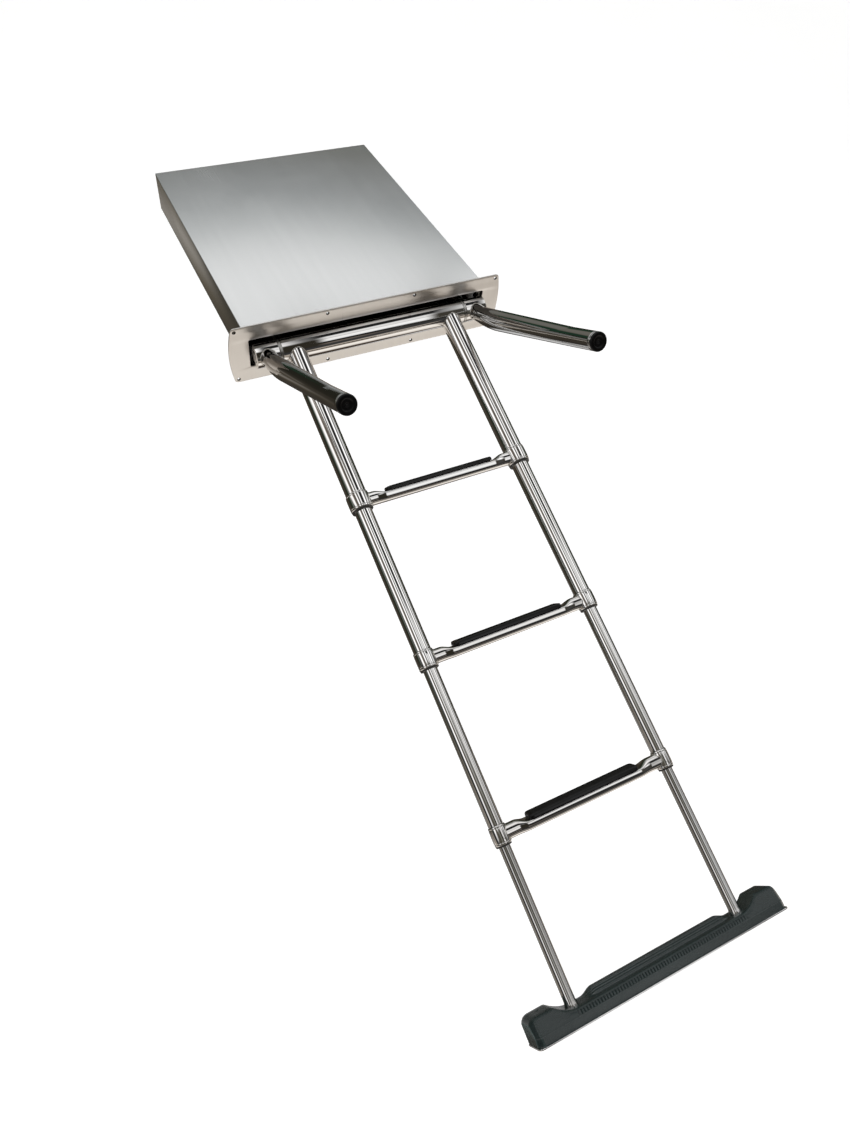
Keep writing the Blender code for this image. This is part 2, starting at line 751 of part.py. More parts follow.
def step_section(x):
    """Outline of the step across its length: sole, leaning front face, top with its ridge."""
    edge, ridge = step_tops(x)
    bevel = STEP_EDGE_BEVEL
    outline = [
        (STEP_BACK, STEP_SOLE), (STEP_FRONT, STEP_SOLE), (STEP_FRONT - STEP_LEAN, edge + bevel),
        (STEP_FRONT - STEP_LEAN - bevel, edge), (RIDGE_FRONT + bevel, edge),
        (RIDGE_FRONT, ridge), (STEP_BACK + bevel, ridge), (STEP_BACK, ridge + bevel),
    ]
    return [(x, across, along) for across, along in outline]


def step_places():
    """Places along the step where its outline changes, closer together on the curves."""
    places = []
    for start, end, steps in (
        (0.0, RIDGE_TOP_END, 1), (RIDGE_TOP_END, RIDGE_FOOT_END, 1), (RIDGE_FOOT_END, SCOOP_START, 1),
        (SCOOP_START, SCOOP_END, 6), (SCOOP_END, BLOCK_ROUND_START, 1),
        (BLOCK_ROUND_START, STEP_HALF_LENGTH, 5),
    ):
        places += [start + (end - start) * i / steps for i in range(steps)]
    places.append(STEP_HALF_LENGTH)
    return [-x for x in reversed(places[1:])] + places


def build_step(ladder):
    """Moulded bottom step, its bores for the last tubes, and the steel cover on its sole."""
    sections = [step_section(x) for x in step_places()]
    step = add_object("step_moulding", loft_mesh("step_moulding", sections), ladder, "step_plastic")
    bore = STILE_DIAMETERS[-1] / 2 + GAP
    for word, side in SIDES:
        name = f"cut_step_bore_{word}"
        socket = rod_mesh(name, bore, STEP_BLOCK_TOP, STEP_BORE_END, offset=(side * STILE_CENTRE, 0, 0))
        cut(step, add_object(name, socket, ladder))
    reach = STEP_HALF_LENGTH + COVER_OVERHANG
    low = (-reach, STEP_BACK - COVER_OVERHANG, STEP_SOLE + GAP)
    high = (reach, STEP_FRONT + COVER_OVERHANG, STEP_SOLE + GAP + COVER_THICKNESS)
    add_object("step_cover", box_mesh("step_cover", low, high), ladder, "satin_steel")


def main():
    clear_scene()
    build_flange()
    build_box()
    build_rails()
    build_carriage()
    build_handles()
    build_ladder()


main()
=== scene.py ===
"""Looks of the slide-in boarding ladder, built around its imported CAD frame."""

import json
import math

import bmesh
import bpy
from mathutils import Matrix, Vector


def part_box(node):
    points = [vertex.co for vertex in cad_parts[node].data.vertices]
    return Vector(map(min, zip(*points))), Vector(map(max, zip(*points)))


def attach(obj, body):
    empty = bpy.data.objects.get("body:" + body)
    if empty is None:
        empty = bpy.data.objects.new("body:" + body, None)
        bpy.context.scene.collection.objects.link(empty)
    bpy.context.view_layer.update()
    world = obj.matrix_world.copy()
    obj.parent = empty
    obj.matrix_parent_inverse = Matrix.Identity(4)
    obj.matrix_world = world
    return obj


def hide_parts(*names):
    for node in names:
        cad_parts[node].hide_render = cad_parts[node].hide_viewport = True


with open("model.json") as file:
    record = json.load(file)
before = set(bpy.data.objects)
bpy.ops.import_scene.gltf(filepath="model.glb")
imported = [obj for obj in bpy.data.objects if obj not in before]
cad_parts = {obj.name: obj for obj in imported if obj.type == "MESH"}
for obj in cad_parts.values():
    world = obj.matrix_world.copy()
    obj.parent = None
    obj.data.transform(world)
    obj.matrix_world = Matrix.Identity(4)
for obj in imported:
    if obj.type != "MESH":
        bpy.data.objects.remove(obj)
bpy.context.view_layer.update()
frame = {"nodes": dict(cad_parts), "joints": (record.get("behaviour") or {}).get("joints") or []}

# Sizes of details, in metres and radians
TUBE_WALL = 0.0015
GAP = 0.0003  # between pieces that slide or sit in each other
EDGE = 0.0005
BEAD_RADIUS = 0.0011
CROSSBAR_RADIUS = 0.022
SHAFT_BORE = 0.0102
COPE_DEPTH = 0.0002  # how far a coped tube reaches into the crossbar
HOLE_BORE = 0.0018
HOLE_SPAN, HOLE_ROWS = 0.540, 0.1046
HANDLE_ROOT_ELEVATION = math.radians(17.0)
HANDLE_BEND = math.radians(12.0)
HANDLE_BEND_START = 0.055
HANDLE_BEND_LENGTH = 0.060
HANDLE_RADIUS = 0.016
RUNG_RADIUS = 0.0127
RUNG_FLAT = 0.0060  # height of the rung's pressed half
RUNG_HALF_WIDTH = 0.0142
RUNG_FLAT_END = 0.1095
RUNG_ROUND_START = 0.133
TREAD_RIBS = 6
TREAD_TILT = math.radians(17.2)
TREAD_CORNER = 0.007
RIB_PITCH = 0.0052
RIB_DEPTH = 0.0018
RIB_END = 0.166
RIDGE_SHIFT = 0.008
RIDGE_FLAT, RIDGE_END = 0.122, 0.145
STEP_HEIGHT = 0.023
STEP_ROUNDING = 0.226  # where the step's ends begin to round off
BLOCK_START, BLOCK_RUN, BLOCK_HEIGHT = 0.158, 0.039, 0.016
END_CHAMFER = 0.008
FOOT_FLARE = 0.0014
FOOT_LENGTH = 0.008
FLOOR_Z = -1.30
ROUND = 96  # points round a tube

CAMERA_AZIMUTH, CAMERA_ELEVATION, CAMERA_ROLL = (math.radians(a) for a in (-32.56, 51.73, 8.19))
CAMERA_PLACE = Vector((-0.5807, -1.2292, 0.9842))
CAMERA_LENS = 26.19  # mm, on a sensor 36 mm high

JOINTS = {joint["name"]: joint for joint in frame["joints"]}
PIVOT = Vector(JOINTS["ladder_swing"]["pos_m"])
DOWN = -Vector(JOINTS["section_2_slide"]["axis"]).normalized()
ACROSS = Vector((1, 0, 0))
OUT = DOWN.cross(ACROSS)
SIDES = (("left", -1), ("right", 1))


def basis(x, y, z, origin):
    """Matrix of a local frame with the given axes and origin."""
    matrix = Matrix((x, y, z)).transposed().to_4x4()
    matrix.translation = origin
    return matrix


LADDER = basis(ACROSS, OUT, DOWN, PIVOT)
WORLD = Matrix.Identity(4)


def handle_frame(word):
    """Frame on a handle's joint whose Z runs out along the handle's root."""
    along = Vector((0, -math.cos(HANDLE_ROOT_ELEVATION), math.sin(HANDLE_ROOT_ELEVATION)))
    origin = Vector(JOINTS[f"{word}_handle_swing"]["pos_m"])
    return basis(ACROSS, along.cross(ACROSS), along, origin)


def local_box(node, matrix):
    """Lowest and highest corner of a CAD node in a local frame."""
    inverse = matrix.inverted()
    points = [inverse @ v.co for v in frame["nodes"][node].data.vertices]
    low = Vector([min(p[i] for p in points) for i in range(3)])
    high = Vector([max(p[i] for p in points) for i in range(3)])
    return low, high


# ------------------------------------------------------------------ materials

def fill_ramp(elements, stops):
    """Set a colour ramp to (place, colour or grey) stops."""
    while len(elements) < len(stops):
        elements.new(0.5)
    for element, (place, colour) in zip(elements, stops):
        element.position = place
        element.color = (*colour, 1.0) if isinstance(colour, tuple) else (colour, colour, colour, 1.0)


class Nodes:
    """A material under construction, with its Principled shader."""

    def __init__(self, name):
        self.material = bpy.data.materials.new(name)
        self.material.use_nodes = True
        self.tree = self.material.node_tree
        self.shader = self.tree.nodes["Principled BSDF"]
        self.coords = self.tree.nodes.new("ShaderNodeTexCoord").outputs["Object"]

    def node(self, kind, inputs=None, **settings):
        node = self.tree.nodes.new(kind)
        for key, value in settings.items():
            setattr(node, key, value)
        for key, value in (inputs or {}).items():
            if isinstance(value, bpy.types.NodeSocket):
                self.tree.links.new(value, node.inputs[key])
            else:
                node.inputs[key].default_value = value
        return node

    def noise(self, stretch, detail=4.0, roughness=0.55, distortion=0.0, offset=(0, 0, 0)):
        """Noise stretched by the given frequencies along X, Y and Z."""
        mapping = self.node("ShaderNodeMapping",
                            {"Vector": self.coords, "Scale": stretch, "Location": offset})
        return self.node(
            "ShaderNodeTexNoise",
            {"Vector": mapping.outputs[0], "Scale": 1.0, "Detail": detail, "Roughness": roughness,
             "Distortion": distortion},
        ).outputs["Fac"]

    def ramp(self, factor, stops):
        """Colour or value ramp over (place, colour or grey) stops."""
        node = self.node("ShaderNodeValToRGB", {"Fac": factor})
        fill_ramp(node.color_ramp.elements, stops)
        return node.outputs["Color"]

    def edge_wear_and_highlight(self, start, end, strength):
        """Share of wear and painted edge highlight on convex edges."""
        convex = self.node("ShaderNodeNewGeometry").outputs["Pointiness"]
        return self.ramp(convex, [(start, 0.0), (end, strength)])

    def mix(self, factor, first, second, blend="MIX"):
        node = self.node("ShaderNodeMix", data_type="RGBA", blend_type=blend)
        for index, value in ((0, factor), (6, first), (7, second)):
            if isinstance(value, bpy.types.NodeSocket):
                self.tree.links.new(value, node.inputs[index])
            elif index == 0:
                node.inputs[index].default_value = value
            else:
                node.inputs[index].default_value = (*value, 1.0)
        return node.outputs[2]

    def feed(self, socket, value):
        if isinstance(value, bpy.types.NodeSocket):
            self.tree.links.new(value, self.shader.inputs[socket])
        else:
            self.shader.inputs[socket].default_value = value

    def bump(self, height, strength, distance, normal=None):
        inputs = {"Height": height, "Strength": strength, "Distance": distance}
        if normal is not None:
            inputs["Normal"] = normal
        return self.node("ShaderNodeBump", inputs).outputs["Normal"]


def grain(axis, along, across):
    """Noise frequencies that draw streaks along one axis."""
    stretch = [across, across, across]
    stretch["XYZ".index(axis)] = along
    return tuple(stretch)


def polished_steel(axis, name="polished_steel", painted_shade_factor=1.0):
    """Mirror-polished tube: draw lines, faint smudges and buffing haze; its last argument scales its colour
    down, as painted shade for tubes that look darker.
    """
    m = Nodes(f"{name}_{axis.lower()}")
    lines = m.noise(grain(axis, 1.0, 260.0), detail=4.0, roughness=0.55)
    haze = m.noise((9.0, 9.0, 9.0), detail=5.0, roughness=0.6, distortion=0.4)
    tone = m.noise(grain(axis, 0.8, 70.0), detail=3.0, roughness=0.5, offset=(3.1, 1.7, 0.4))
    tones = [(0.30, (0.72, 0.70, 0.68)), (0.50, (0.81, 0.80, 0.79)), (0.72, (0.87, 0.865, 0.86))]
    colour = m.ramp(tone, [(at, tuple(painted_shade_factor * c for c in shade)) for at, shade in tones])
    smudge = tuple(painted_shade_factor * c for c in (0.66, 0.65, 0.63))
    m.feed("Base Color", m.mix(m.ramp(haze, [(0.40, 0.0), (0.80, 0.15)]), colour, smudge))
    fine = m.ramp(lines, [(0.35, 0.018), (0.65, 0.035), (0.85, 0.07)])
    m.feed("Roughness", m.mix(m.ramp(haze, [(0.48, 0.0), (0.78, 0.40)]), fine, (0.09, 0.09, 0.09)))
    m.feed("Metallic", 1.0)
    scratch = m.noise(grain(axis, 18.0, 700.0), detail=2.0, roughness=0.5)
    m.feed("Normal", m.bump(scratch, 0.012, 0.0002, m.bump(tone, 0.05, 0.0003)))
    return m.material


def brushed_steel(name, axis, dark, light, rough_low, rough_high, grain_bump):
    """Satin stainless sheet: fine grain, cloudy variation and a few deeper scratches."""
    m = Nodes(name)
    fine = m.noise(grain(axis, 8.0, 1300.0), detail=3.0, roughness=0.6)
    broad = m.noise(grain(axis, 1.6, 60.0), detail=3.0, roughness=0.5, offset=(1.3, 0.2, 2.0))
    cloud = m.noise((5.0, 5.0, 5.0), detail=4.0, roughness=0.5, distortion=0.6)
    base = m.ramp(m.mix(0.70, broad, cloud), [(0.30, dark), (0.70, light)])
    m.feed("Base Color", m.mix(0.06, base, m.ramp(fine, [(0.3, 0.3), (0.7, 0.9)]), "MULTIPLY"))
    m.feed("Roughness", m.ramp(m.mix(0.6, fine, cloud), [(0.30, rough_low), (0.70, rough_high)]))
    m.feed("Metallic", 1.0)
    deep = m.noise(grain(axis, 3.0, 260.0), detail=6.0, roughness=0.7, offset=(0.0, 5.0, 1.0))
    scratches = m.ramp(deep, [(0.70, 0.0), (0.74, 1.0)])
    m.feed("Normal", m.bump(scratches, 0.03, 0.0002, m.bump(fine, grain_bump, 0.00012)))
    return m.material


def moulded_plastic(name, dark, light, rough_low, rough_high, pebble, shine=0.5):
    """Moulded plastic: fine spark-eroded texture, convex edges lightened as wear and painted edge highlight,
    scuffs that lighten and dull it.
    """
    m = Nodes(name)
    texture = m.noise((1500.0, 1500.0, 1500.0), detail=2.0)
    scuff = m.noise((40.0, 90.0, 90.0), detail=7.0, roughness=0.7, distortion=0.6)
    cloud = m.noise((12.0, 12.0, 12.0), detail=3.0, offset=(2.0, 1.0, 0.0))
    base = m.ramp(cloud, [(0.30, dark), (0.70, light)])
    worn = tuple(min(1.0, c * 1.7 + 0.012) for c in light)
    # Convex edges much lighter: partly wear, partly a painted highlight along the edges.
    rubbed_and_highlit = tuple(min(1.0, c * 4.0 + 0.02) for c in light)
    base = m.mix(m.edge_wear_and_highlight(0.52, 0.60, 0.8), base, rubbed_and_highlit)
    m.feed("Base Color", m.mix(m.ramp(scuff, [(0.58, 0.0), (0.85, 0.45)]), base, worn))
    m.feed("Roughness", m.mix(m.ramp(scuff, [(0.5, 0.0), (0.8, 0.3)]),
                              m.ramp(texture, [(0.3, rough_low), (0.7, rough_high)]), (0.7, 0.7, 0.7)))
    m.feed("Specular IOR Level", shine)
    m.feed("Normal", m.bump(texture, pebble, 0.00012, m.bump(scuff, 0.05, 0.0003)))
    return m.material


def rubber(name):
    """Tread rubber: half gloss, faint dust, a fine tooth, and convex edges lightened as wear and painted edge
    highlight.
    """
    m = Nodes(name)
    tooth = m.noise((900.0, 900.0, 900.0), detail=3.0)
    dust = m.noise((40.0, 90.0, 90.0), detail=6.0, roughness=0.65)
    base = m.ramp(dust, [(0.35, (0.002, 0.002, 0.002)), (0.60, (0.004, 0.004, 0.004)),
                         (0.82, (0.014, 0.014, 0.013))])
    # Light grey on convex edges: partly wear, partly a painted highlight along the pad's border.
    m.feed("Base Color", m.mix(m.edge_wear_and_highlight(0.56, 0.66, 0.6), base, (0.07, 0.07, 0.07)))
    m.feed("Roughness", m.ramp(m.mix(0.5, tooth, dust), [(0.3, 0.12), (0.7, 0.24)]))
    m.feed("Specular IOR Level", 0.3)
    m.feed("Normal", m.bump(tooth, 0.12, 0.0002))
    return m.material


def weld_steel():
    """Weld bead: duller than the tube, faint straw and blue heat tint."""
    m = Nodes("weld_steel")
    tint = m.noise((160.0, 160.0, 160.0), detail=3.0)
    m.feed("Base Color", m.ramp(tint, [(0.30, (0.50, 0.47, 0.42)), (0.55, (0.66, 0.64, 0.60)),
                                       (0.75, (0.55, 0.57, 0.60))]))
    m.feed("Roughness", m.ramp(tint, [(0.3, 0.20), (0.7, 0.36)]))
    m.feed("Metallic", 1.0)
    m.feed("Normal", m.bump(m.noise((800.0, 800.0, 800.0)), 0.1, 0.0002))
    return m.material


STEEL_X = polished_steel("X")
STEEL_Z = polished_steel("Z")
# Darker copies of the polished steel: painted shade on the handles and on section 4's tubes.
HANDLE_SHADED_STEEL = polished_steel("Z", "handle_shaded_steel", 0.66)
SECTION_4_SHADED_STEEL = polished_steel("Z", "section_4_shaded_steel", 0.74)
FLANGE_STEEL = brushed_steel("flange_steel", "Z", (0.70, 0.67, 0.64), (0.78, 0.76, 0.73), 0.26, 0.36, 0.03)
SHEET_STEEL = brushed_steel("sheet_steel", "Y", (0.67, 0.68, 0.68), (0.73, 0.74, 0.74), 0.20, 0.28, 0.015)
FRAME_STEEL = brushed_steel("frame_steel", "X", (0.48, 0.47, 0.45), (0.62, 0.61, 0.59), 0.22, 0.36, 0.05)
COVER_STEEL = brushed_steel("cover_steel", "X", (0.92, 0.92, 0.92), (0.97, 0.97, 0.97), 0.12, 0.20, 0.02)
# Near-black steel for the walls of the flange's holes: painted shade in the countersinks.
HOLE_SHADE_STEEL = brushed_steel("hole_painted_shade_steel", "Y", (0.05, 0.045, 0.04), (0.12, 0.11, 0.10), 0.35, 0.50, 0.05)
STEP_PLASTIC = moulded_plastic("step_plastic", (0.011, 0.020, 0.020), (0.016, 0.028, 0.028),
                               0.22, 0.30, 0.06, 0.75)
CAP_PLASTIC = moulded_plastic("cap_plastic", (0.001, 0.001, 0.001), (0.003, 0.003, 0.003),
                              0.28, 0.40, 0.08, 0.25)
BUSH_PLASTIC = moulded_plastic("bush_plastic", (0.012, 0.012, 0.012), (0.022, 0.021, 0.020), 0.28, 0.42, 0.08)
NYLON = moulded_plastic("nylon", (0.62, 0.60, 0.55), (0.72, 0.70, 0.66), 0.35, 0.5, 0.08)
RUBBER = rubber("tread_rubber")
WELD = weld_steel()


# ------------------------------------------------------------------ mesh helpers

def circle(radius, count=ROUND):
    """Points (across, up) round a circle."""
    turns = (2 * math.pi * i / count for i in range(count))
    return [(radius * math.cos(turn), radius * math.sin(turn)) for turn in turns]


def piece(name, bm, matrix, body, material, nodes=(), sharp=40.0):
    """Finish a bmesh as an object that rides on a body and stands for CAD nodes."""
    bmesh.ops.recalc_face_normals(bm, faces=bm.faces)
    mesh = bpy.data.meshes.new(name)
    bm.to_mesh(mesh)
    bm.free()
    mesh.materials.append(material)
    mesh.shade_smooth()
    mesh.set_sharp_from_angle(angle=math.radians(sharp))
    obj = bpy.data.objects.new(name, mesh)
    bpy.context.scene.collection.objects.link(obj)
    obj.matrix_world = matrix
    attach(obj, body)
    if nodes:
        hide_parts(*nodes)
    return obj


def skin(bm, rings, closed):
    """Quads between rings of points; closed joins the last to the first, else the ends are capped."""
    made = [[bm.verts.new(p) for p in ring] for ring in rings]
    pairs = list(zip(made, made[1:])) + ([(made[-1], made[0])] if closed else [])
    for a, b in pairs:
        count = len(a)
        for i in range(count):
            bm.faces.new((a[i], a[(i + 1) % count], b[(i + 1) % count], b[i]))
    if not closed:
        bm.faces.new(made[0])
        bm.faces.new(made[-1])


def fillet(corners, radius, steps=4):
    """Round every corner of a closed outline; a corner may carry its own radius as a third number."""
    out = []
    for i, corner in enumerate(corners):
        own = corner[2] if len(corner) > 2 else radius
        here = Vector(corner[:2])
        to_last = Vector(corners[i - 1][:2]) - here
        to_next = Vector(corners[(i + 1) % len(corners)][:2]) - here
        reach = min(own, to_last.length * 0.49, to_next.length * 0.49)
        if reach <= 1e-7:
            out.append(tuple(here))
            continue
        start = here + to_last.normalized() * reach
        end = here + to_next.normalized() * reach
        for k in range(steps + 1):
            t = k / steps
            out.append(tuple(start * (1 - t) ** 2 + here * (2 * t * (1 - t)) + end * t ** 2))
    return out


def turned(outline, axis="Z", offset=(0, 0, 0), segments=ROUND):
    """bmesh of a ring-shaped turned piece from a closed (radius, height) outline."""
    bm = bmesh.new()
    shift = Vector(offset)
    rings = []
    for radius, height in outline:
        rings.append([Vector((height, a, b) if axis == "X" else (a, b, height)) + shift
                      for a, b in circle(radius, segments)])
    skin(bm, rings, closed=True)
    return bm


def pipe(x, outer, inner, start, end, bevel=EDGE, extra=()):
    """bmesh of a tube along Z.

    Its start may be a function of the offset across, and extra (radius, place, shift) rings swell it.
    """
    bm = bmesh.new()
    rings = []
    plan = [(outer - bevel, start, 0.0), (outer, start, bevel), *extra, (outer, end, -bevel),
            (outer - bevel, end, 0.0), (inner + bevel, end, 0.0), (inner, end, -bevel), (inner, start, bevel),
            (inner + bevel, start, 0.0)]
    for radius, place, shift in plan:
        rings.append([(x + a, b, (place(b) if callable(place) else place) + shift)
                      for a, b in circle(radius)])
    skin(bm, rings, closed=True)
    return bm


def bead(points, ripples, radius=BEAD_RADIUS):
    """bmesh of a weld bead round a closed loop of points, with overlapping ripples."""
    bm = bmesh.new()
    centre = sum((Vector(p) for p in points), Vector()) / len(points)
    rings = []
    count = len(points)
    for i, point in enumerate(points):
        here = Vector(point)
        tangent = (Vector(points[(i + 1) % count]) - Vector(points[i - 1])).normalized()
        side = (here - centre).cross(tangent).normalized()
        up = tangent.cross(side)
        phase = (ripples * i / count) % 1.0
        size = radius * (0.82 + 0.30 * phase)
        ring = []
        for a, b in circle(1.0, 8):
            ring.append(here + (side * a + up * b) * size)
        rings.append(ring)
    skin(bm, rings, closed=True)
    return bm


def softened(node, body, material, width=EDGE):
    """Copy of a CAD node with its sharp edges rounded, standing for the node."""
    bm = bmesh.new()
    bm.from_mesh(frame["nodes"][node].data)
    bmesh.ops.remove_doubles(bm, verts=bm.verts, dist=1e-6)
    bmesh.ops.dissolve_limit(bm, angle_limit=math.radians(1.0), verts=bm.verts, edges=bm.edges)
    sharp = [e for e in bm.edges if len(e.link_faces) == 2 and e.calc_face_angle(0.0) > math.radians(30)]
    bmesh.ops.bevel(bm, geom=sharp, offset=width, segments=3, profile=0.5, affect="EDGES", clamp_overlap=True)
    return piece(f"{node}_body", bm, WORLD, body, material, [node])


def carve(obj, cutters):
    """Cut meshes out of obj for good and remove the cutters."""
    for cutter in cutters:
        modifier = obj.modifiers.new("carve", "BOOLEAN")
        modifier.operation = "DIFFERENCE"
        modifier.solver = "EXACT"
        modifier.object = cutter
        if cutter.data.materials:
            modifier.material_mode = "TRANSFER"
    bpy.context.view_layer.update()
    evaluated = obj.evaluated_get(bpy.context.evaluated_depsgraph_get())
    mesh = bpy.data.meshes.new_from_object(evaluated)
    obj.modifiers.clear()
    obj.data = mesh
    mesh.shade_smooth()
    mesh.set_sharp_from_angle(angle=math.radians(40.0))
    for cutter in cutters:
        bpy.data.objects.remove(cutter)


def cutter(bm, matrix, material=None):
    """A temporary object for carve(); its material goes onto the faces it cuts."""
    bmesh.ops.recalc_face_normals(bm, faces=bm.faces)
    mesh = bpy.data.meshes.new("cutter")
    bm.to_mesh(mesh)
    bm.free()
    if material:
        mesh.materials.append(material)
    obj = bpy.data.objects.new("cutter", mesh)
    bpy.context.scene.collection.objects.link(obj)
    obj.matrix_world = matrix
    return obj


def rod(radius, start, end, offset=(0, 0, 0), axis="Z", segments=48, taper=0.0):
    """bmesh of a plain or tapered plug for cutting."""
    bm = bmesh.new()
    rings = []
    for height, size in ((start, radius + taper), (end, radius)):
        ring = []
        for a, b in circle(size, segments):
            point = {"X": (height, a, b), "Y": (a, height, b), "Z": (a, b, height)}[axis]
            ring.append(Vector(point) + Vector(offset))
        rings.append(ring)
    skin(bm, rings, closed=False)
    return bm


# ------------------------------------------------------------------ housing

def build_flange():
    """Face plate from its outline, with rolled edges and countersunk holes whose walls are painted dark as
    shade.
    """
    low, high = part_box("mounting_flange")
    holes = [(HOLE_SPAN * (i / 3 - 0.5), side * HOLE_ROWS / 2) for side in (-1, 1) for i in range(4)]
    bm = bmesh.new()
    bm.from_mesh(frame["nodes"]["mounting_flange"].data)
    bmesh.ops.remove_doubles(bm, verts=bm.verts, dist=1e-6)
    front = [v for v in bm.verts if abs(v.co.y - low.y) < 1e-5]
    loops = outline_loops(bm, front, low.y)
    bm.free()
    curve = bpy.data.curves.new("flange_outline", "CURVE")
    curve.dimensions = "2D"
    curve.fill_mode = "BOTH"
    bevel = 0.0010
    curve.extrude = (high.y - low.y) / 2 - bevel
    curve.bevel_depth = bevel
    curve.bevel_resolution = 3
    curve.offset = -bevel
    for loop in loops:
        spline = curve.splines.new("POLY")
        spline.points.add(len(loop) - 1)
        spline.use_cyclic_u = True
        for point, (x, z) in zip(spline.points, loop):
            point.co = (x, z, 0.0, 1.0)
    for x, z in holes:
        spline = curve.splines.new("POLY")
        spline.points.add(31)
        spline.use_cyclic_u = True
        for point, (across, up) in zip(spline.points, circle(HOLE_BORE, 32)):
            point.co = (x + across, z + up, 0.0, 1.0)
    source = bpy.data.objects.new("flange_outline", curve)
    bpy.context.scene.collection.objects.link(source)
    bpy.context.view_layer.update()
    mesh = bpy.data.meshes.new_from_object(source)
    bpy.data.objects.remove(source)
    bm = bmesh.new()
    bm.from_mesh(mesh)
    bmesh.ops.remove_doubles(bm, verts=bm.verts, dist=1e-6)
    bm.transform(Matrix.Translation((0, (low.y + high.y) / 2, 0)) @ Matrix.Rotation(math.radians(90), 4, "X"))
    plate = piece("face_flange", bm, WORLD, "housing", FLANGE_STEEL, ["mounting_flange"],
                  sharp=30.0)
    sinks = []
    for x, z in holes:
        # The cut walls of each hole take the near-black steel: painted shade.
        sink = rod(HOLE_BORE + GAP, low.y - 0.0002, low.y + 0.0020, (x, 0, z), "Y", taper=0.0016)
        sinks.append(cutter(sink, WORLD, HOLE_SHADE_STEEL))
    carve(plate, sinks)


def outline_loops(bm, verts, y):
    """Closed loops of (x, z) on one face of the plate: its rim and its mouth, without round holes."""
    chosen = set(verts)
    edges = [e for e in bm.edges if e.verts[0] in chosen and e.verts[1] in chosen
             and any(abs(f.normal.y) < 0.5 for f in e.link_faces)]
    link = {}
    for edge in edges:
        a, b = edge.verts
        link.setdefault(a, []).append(b)
        link.setdefault(b, []).append(a)
    loops = []
    left = set(link)
    while left:
        start = left.pop()
        loop = [start]
        last, here = None, start
        while True:
            following = [v for v in link[here] if v is not last]
            last, here = here, following[0]
            if here is start:
                break
            loop.append(here)
            left.discard(here)
        points = [(v.co.x, v.co.z) for v in loop]
        if max(x for x, z in points) - min(x for x, z in points) > 0.1:
            loops.append(points)
    return loops


def build_housing():
    build_flange()
    for sheet in ("cover", "floor", "wall_left", "wall_right", "wall_back"):
        softened(f"housing_{sheet}", "housing", SHEET_STEEL, 0.0006)
    for word, side in SIDES:
        softened(f"guide_rail_{word}", "housing", FRAME_STEEL, 0.0004)
        softened(f"rail_stop_{word}", "housing", RUBBER, 0.0008)


# ------------------------------------------------------------------ carriage

def build_carriage():
    """Shaft with eased ends, slider blocks, arms and the tie bar."""
    low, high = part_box("pivot_shaft")
    shaft_radius = (high.z - low.z) / 2
    bm = bmesh.new()
    outline = [(shaft_radius - 0.001, low.x), (shaft_radius, low.x + 0.001),
               (shaft_radius, high.x - 0.001), (shaft_radius - 0.001, high.x)]
    rings = []
    for radius, x in [(0.004, low.x), *outline, (0.004, high.x)]:
        rings.append([(x, a, b) for a, b in circle(radius)])
    skin(bm, rings, closed=False)
    place = Matrix.Translation(PIVOT)
    piece("shaft", bm, place, "carriage", FRAME_STEEL, ["pivot_shaft"])
    for word, side in SIDES:
        softened(f"slider_block_{word}", "carriage", NYLON, 0.0008)
        build_arm(word)
    softened("carriage_tie_bar", "carriage", FRAME_STEEL, 0.0004)


def build_arm(word):
    """Arm plate: a finely rounded eye on the shaft and a tail back to the tie bar."""
    node = f"carriage_arm_{word}"
    low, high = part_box(node)
    tail_end = high.y - PIVOT.y
    half_tail = 0.014
    meet = math.asin(half_tail / CROSSBAR_RADIUS)
    count = 72
    rim = []
    for i in range(count + 1):
        angle = meet + (2 * math.pi - 2 * meet) * i / count
        rim.append((CROSSBAR_RADIUS * math.cos(angle), CROSSBAR_RADIUS * math.sin(angle)))
    corner = 0.003
    for side, first in ((-1, -math.pi / 2), (1, 0.0)):
        for k in range(7):
            turn = first + math.pi / 2 * k / 6
            rim.append((tail_end - corner + corner * math.cos(turn),
                        side * (half_tail - corner) + corner * math.sin(turn)))
    bevel = 0.0006
    rings = []
    for x, inset in ((low.x, bevel), (low.x + bevel / 3, bevel / 3), (low.x + bevel, 0.0),
                     (high.x - bevel, 0.0), (high.x - bevel / 3, bevel / 3), (high.x, bevel)):
        scale = 1 - inset / CROSSBAR_RADIUS
        rings.append([(x, y * scale if y < CROSSBAR_RADIUS else y - inset, z * scale) for y, z in rim])
    bm = bmesh.new()
    skin(bm, rings, closed=False)
    arm = piece(f"arm_{word}", bm, Matrix.Translation((0, PIVOT.y, PIVOT.z)), "carriage", FRAME_STEEL,
                [node])
    carve(arm, [cutter(rod(SHAFT_BORE, low.x - 0.01, high.x + 0.01, axis="X"), Matrix.Translation(PIVOT))])


def sleeve_outline(start, end, end_length):
    """Section of a sleeve with thick bored ends and softly rounded rims."""
    bore, inner = SHAFT_BORE, CROSSBAR_RADIUS - 0.002
    return fillet([
        (CROSSBAR_RADIUS, start, 0.0009), (CROSSBAR_RADIUS, end, 0.0009), (bore, end, 0.0003),
        (bore, end - end_length, 0.0003), (inner, end - end_length, 0.0003),
        (inner, start + end_length, 0.0003), (bore, start + end_length, 0.0003), (bore, start, 0.0003),
    ], 0.0003)


# ------------------------------------------------------------------ handles

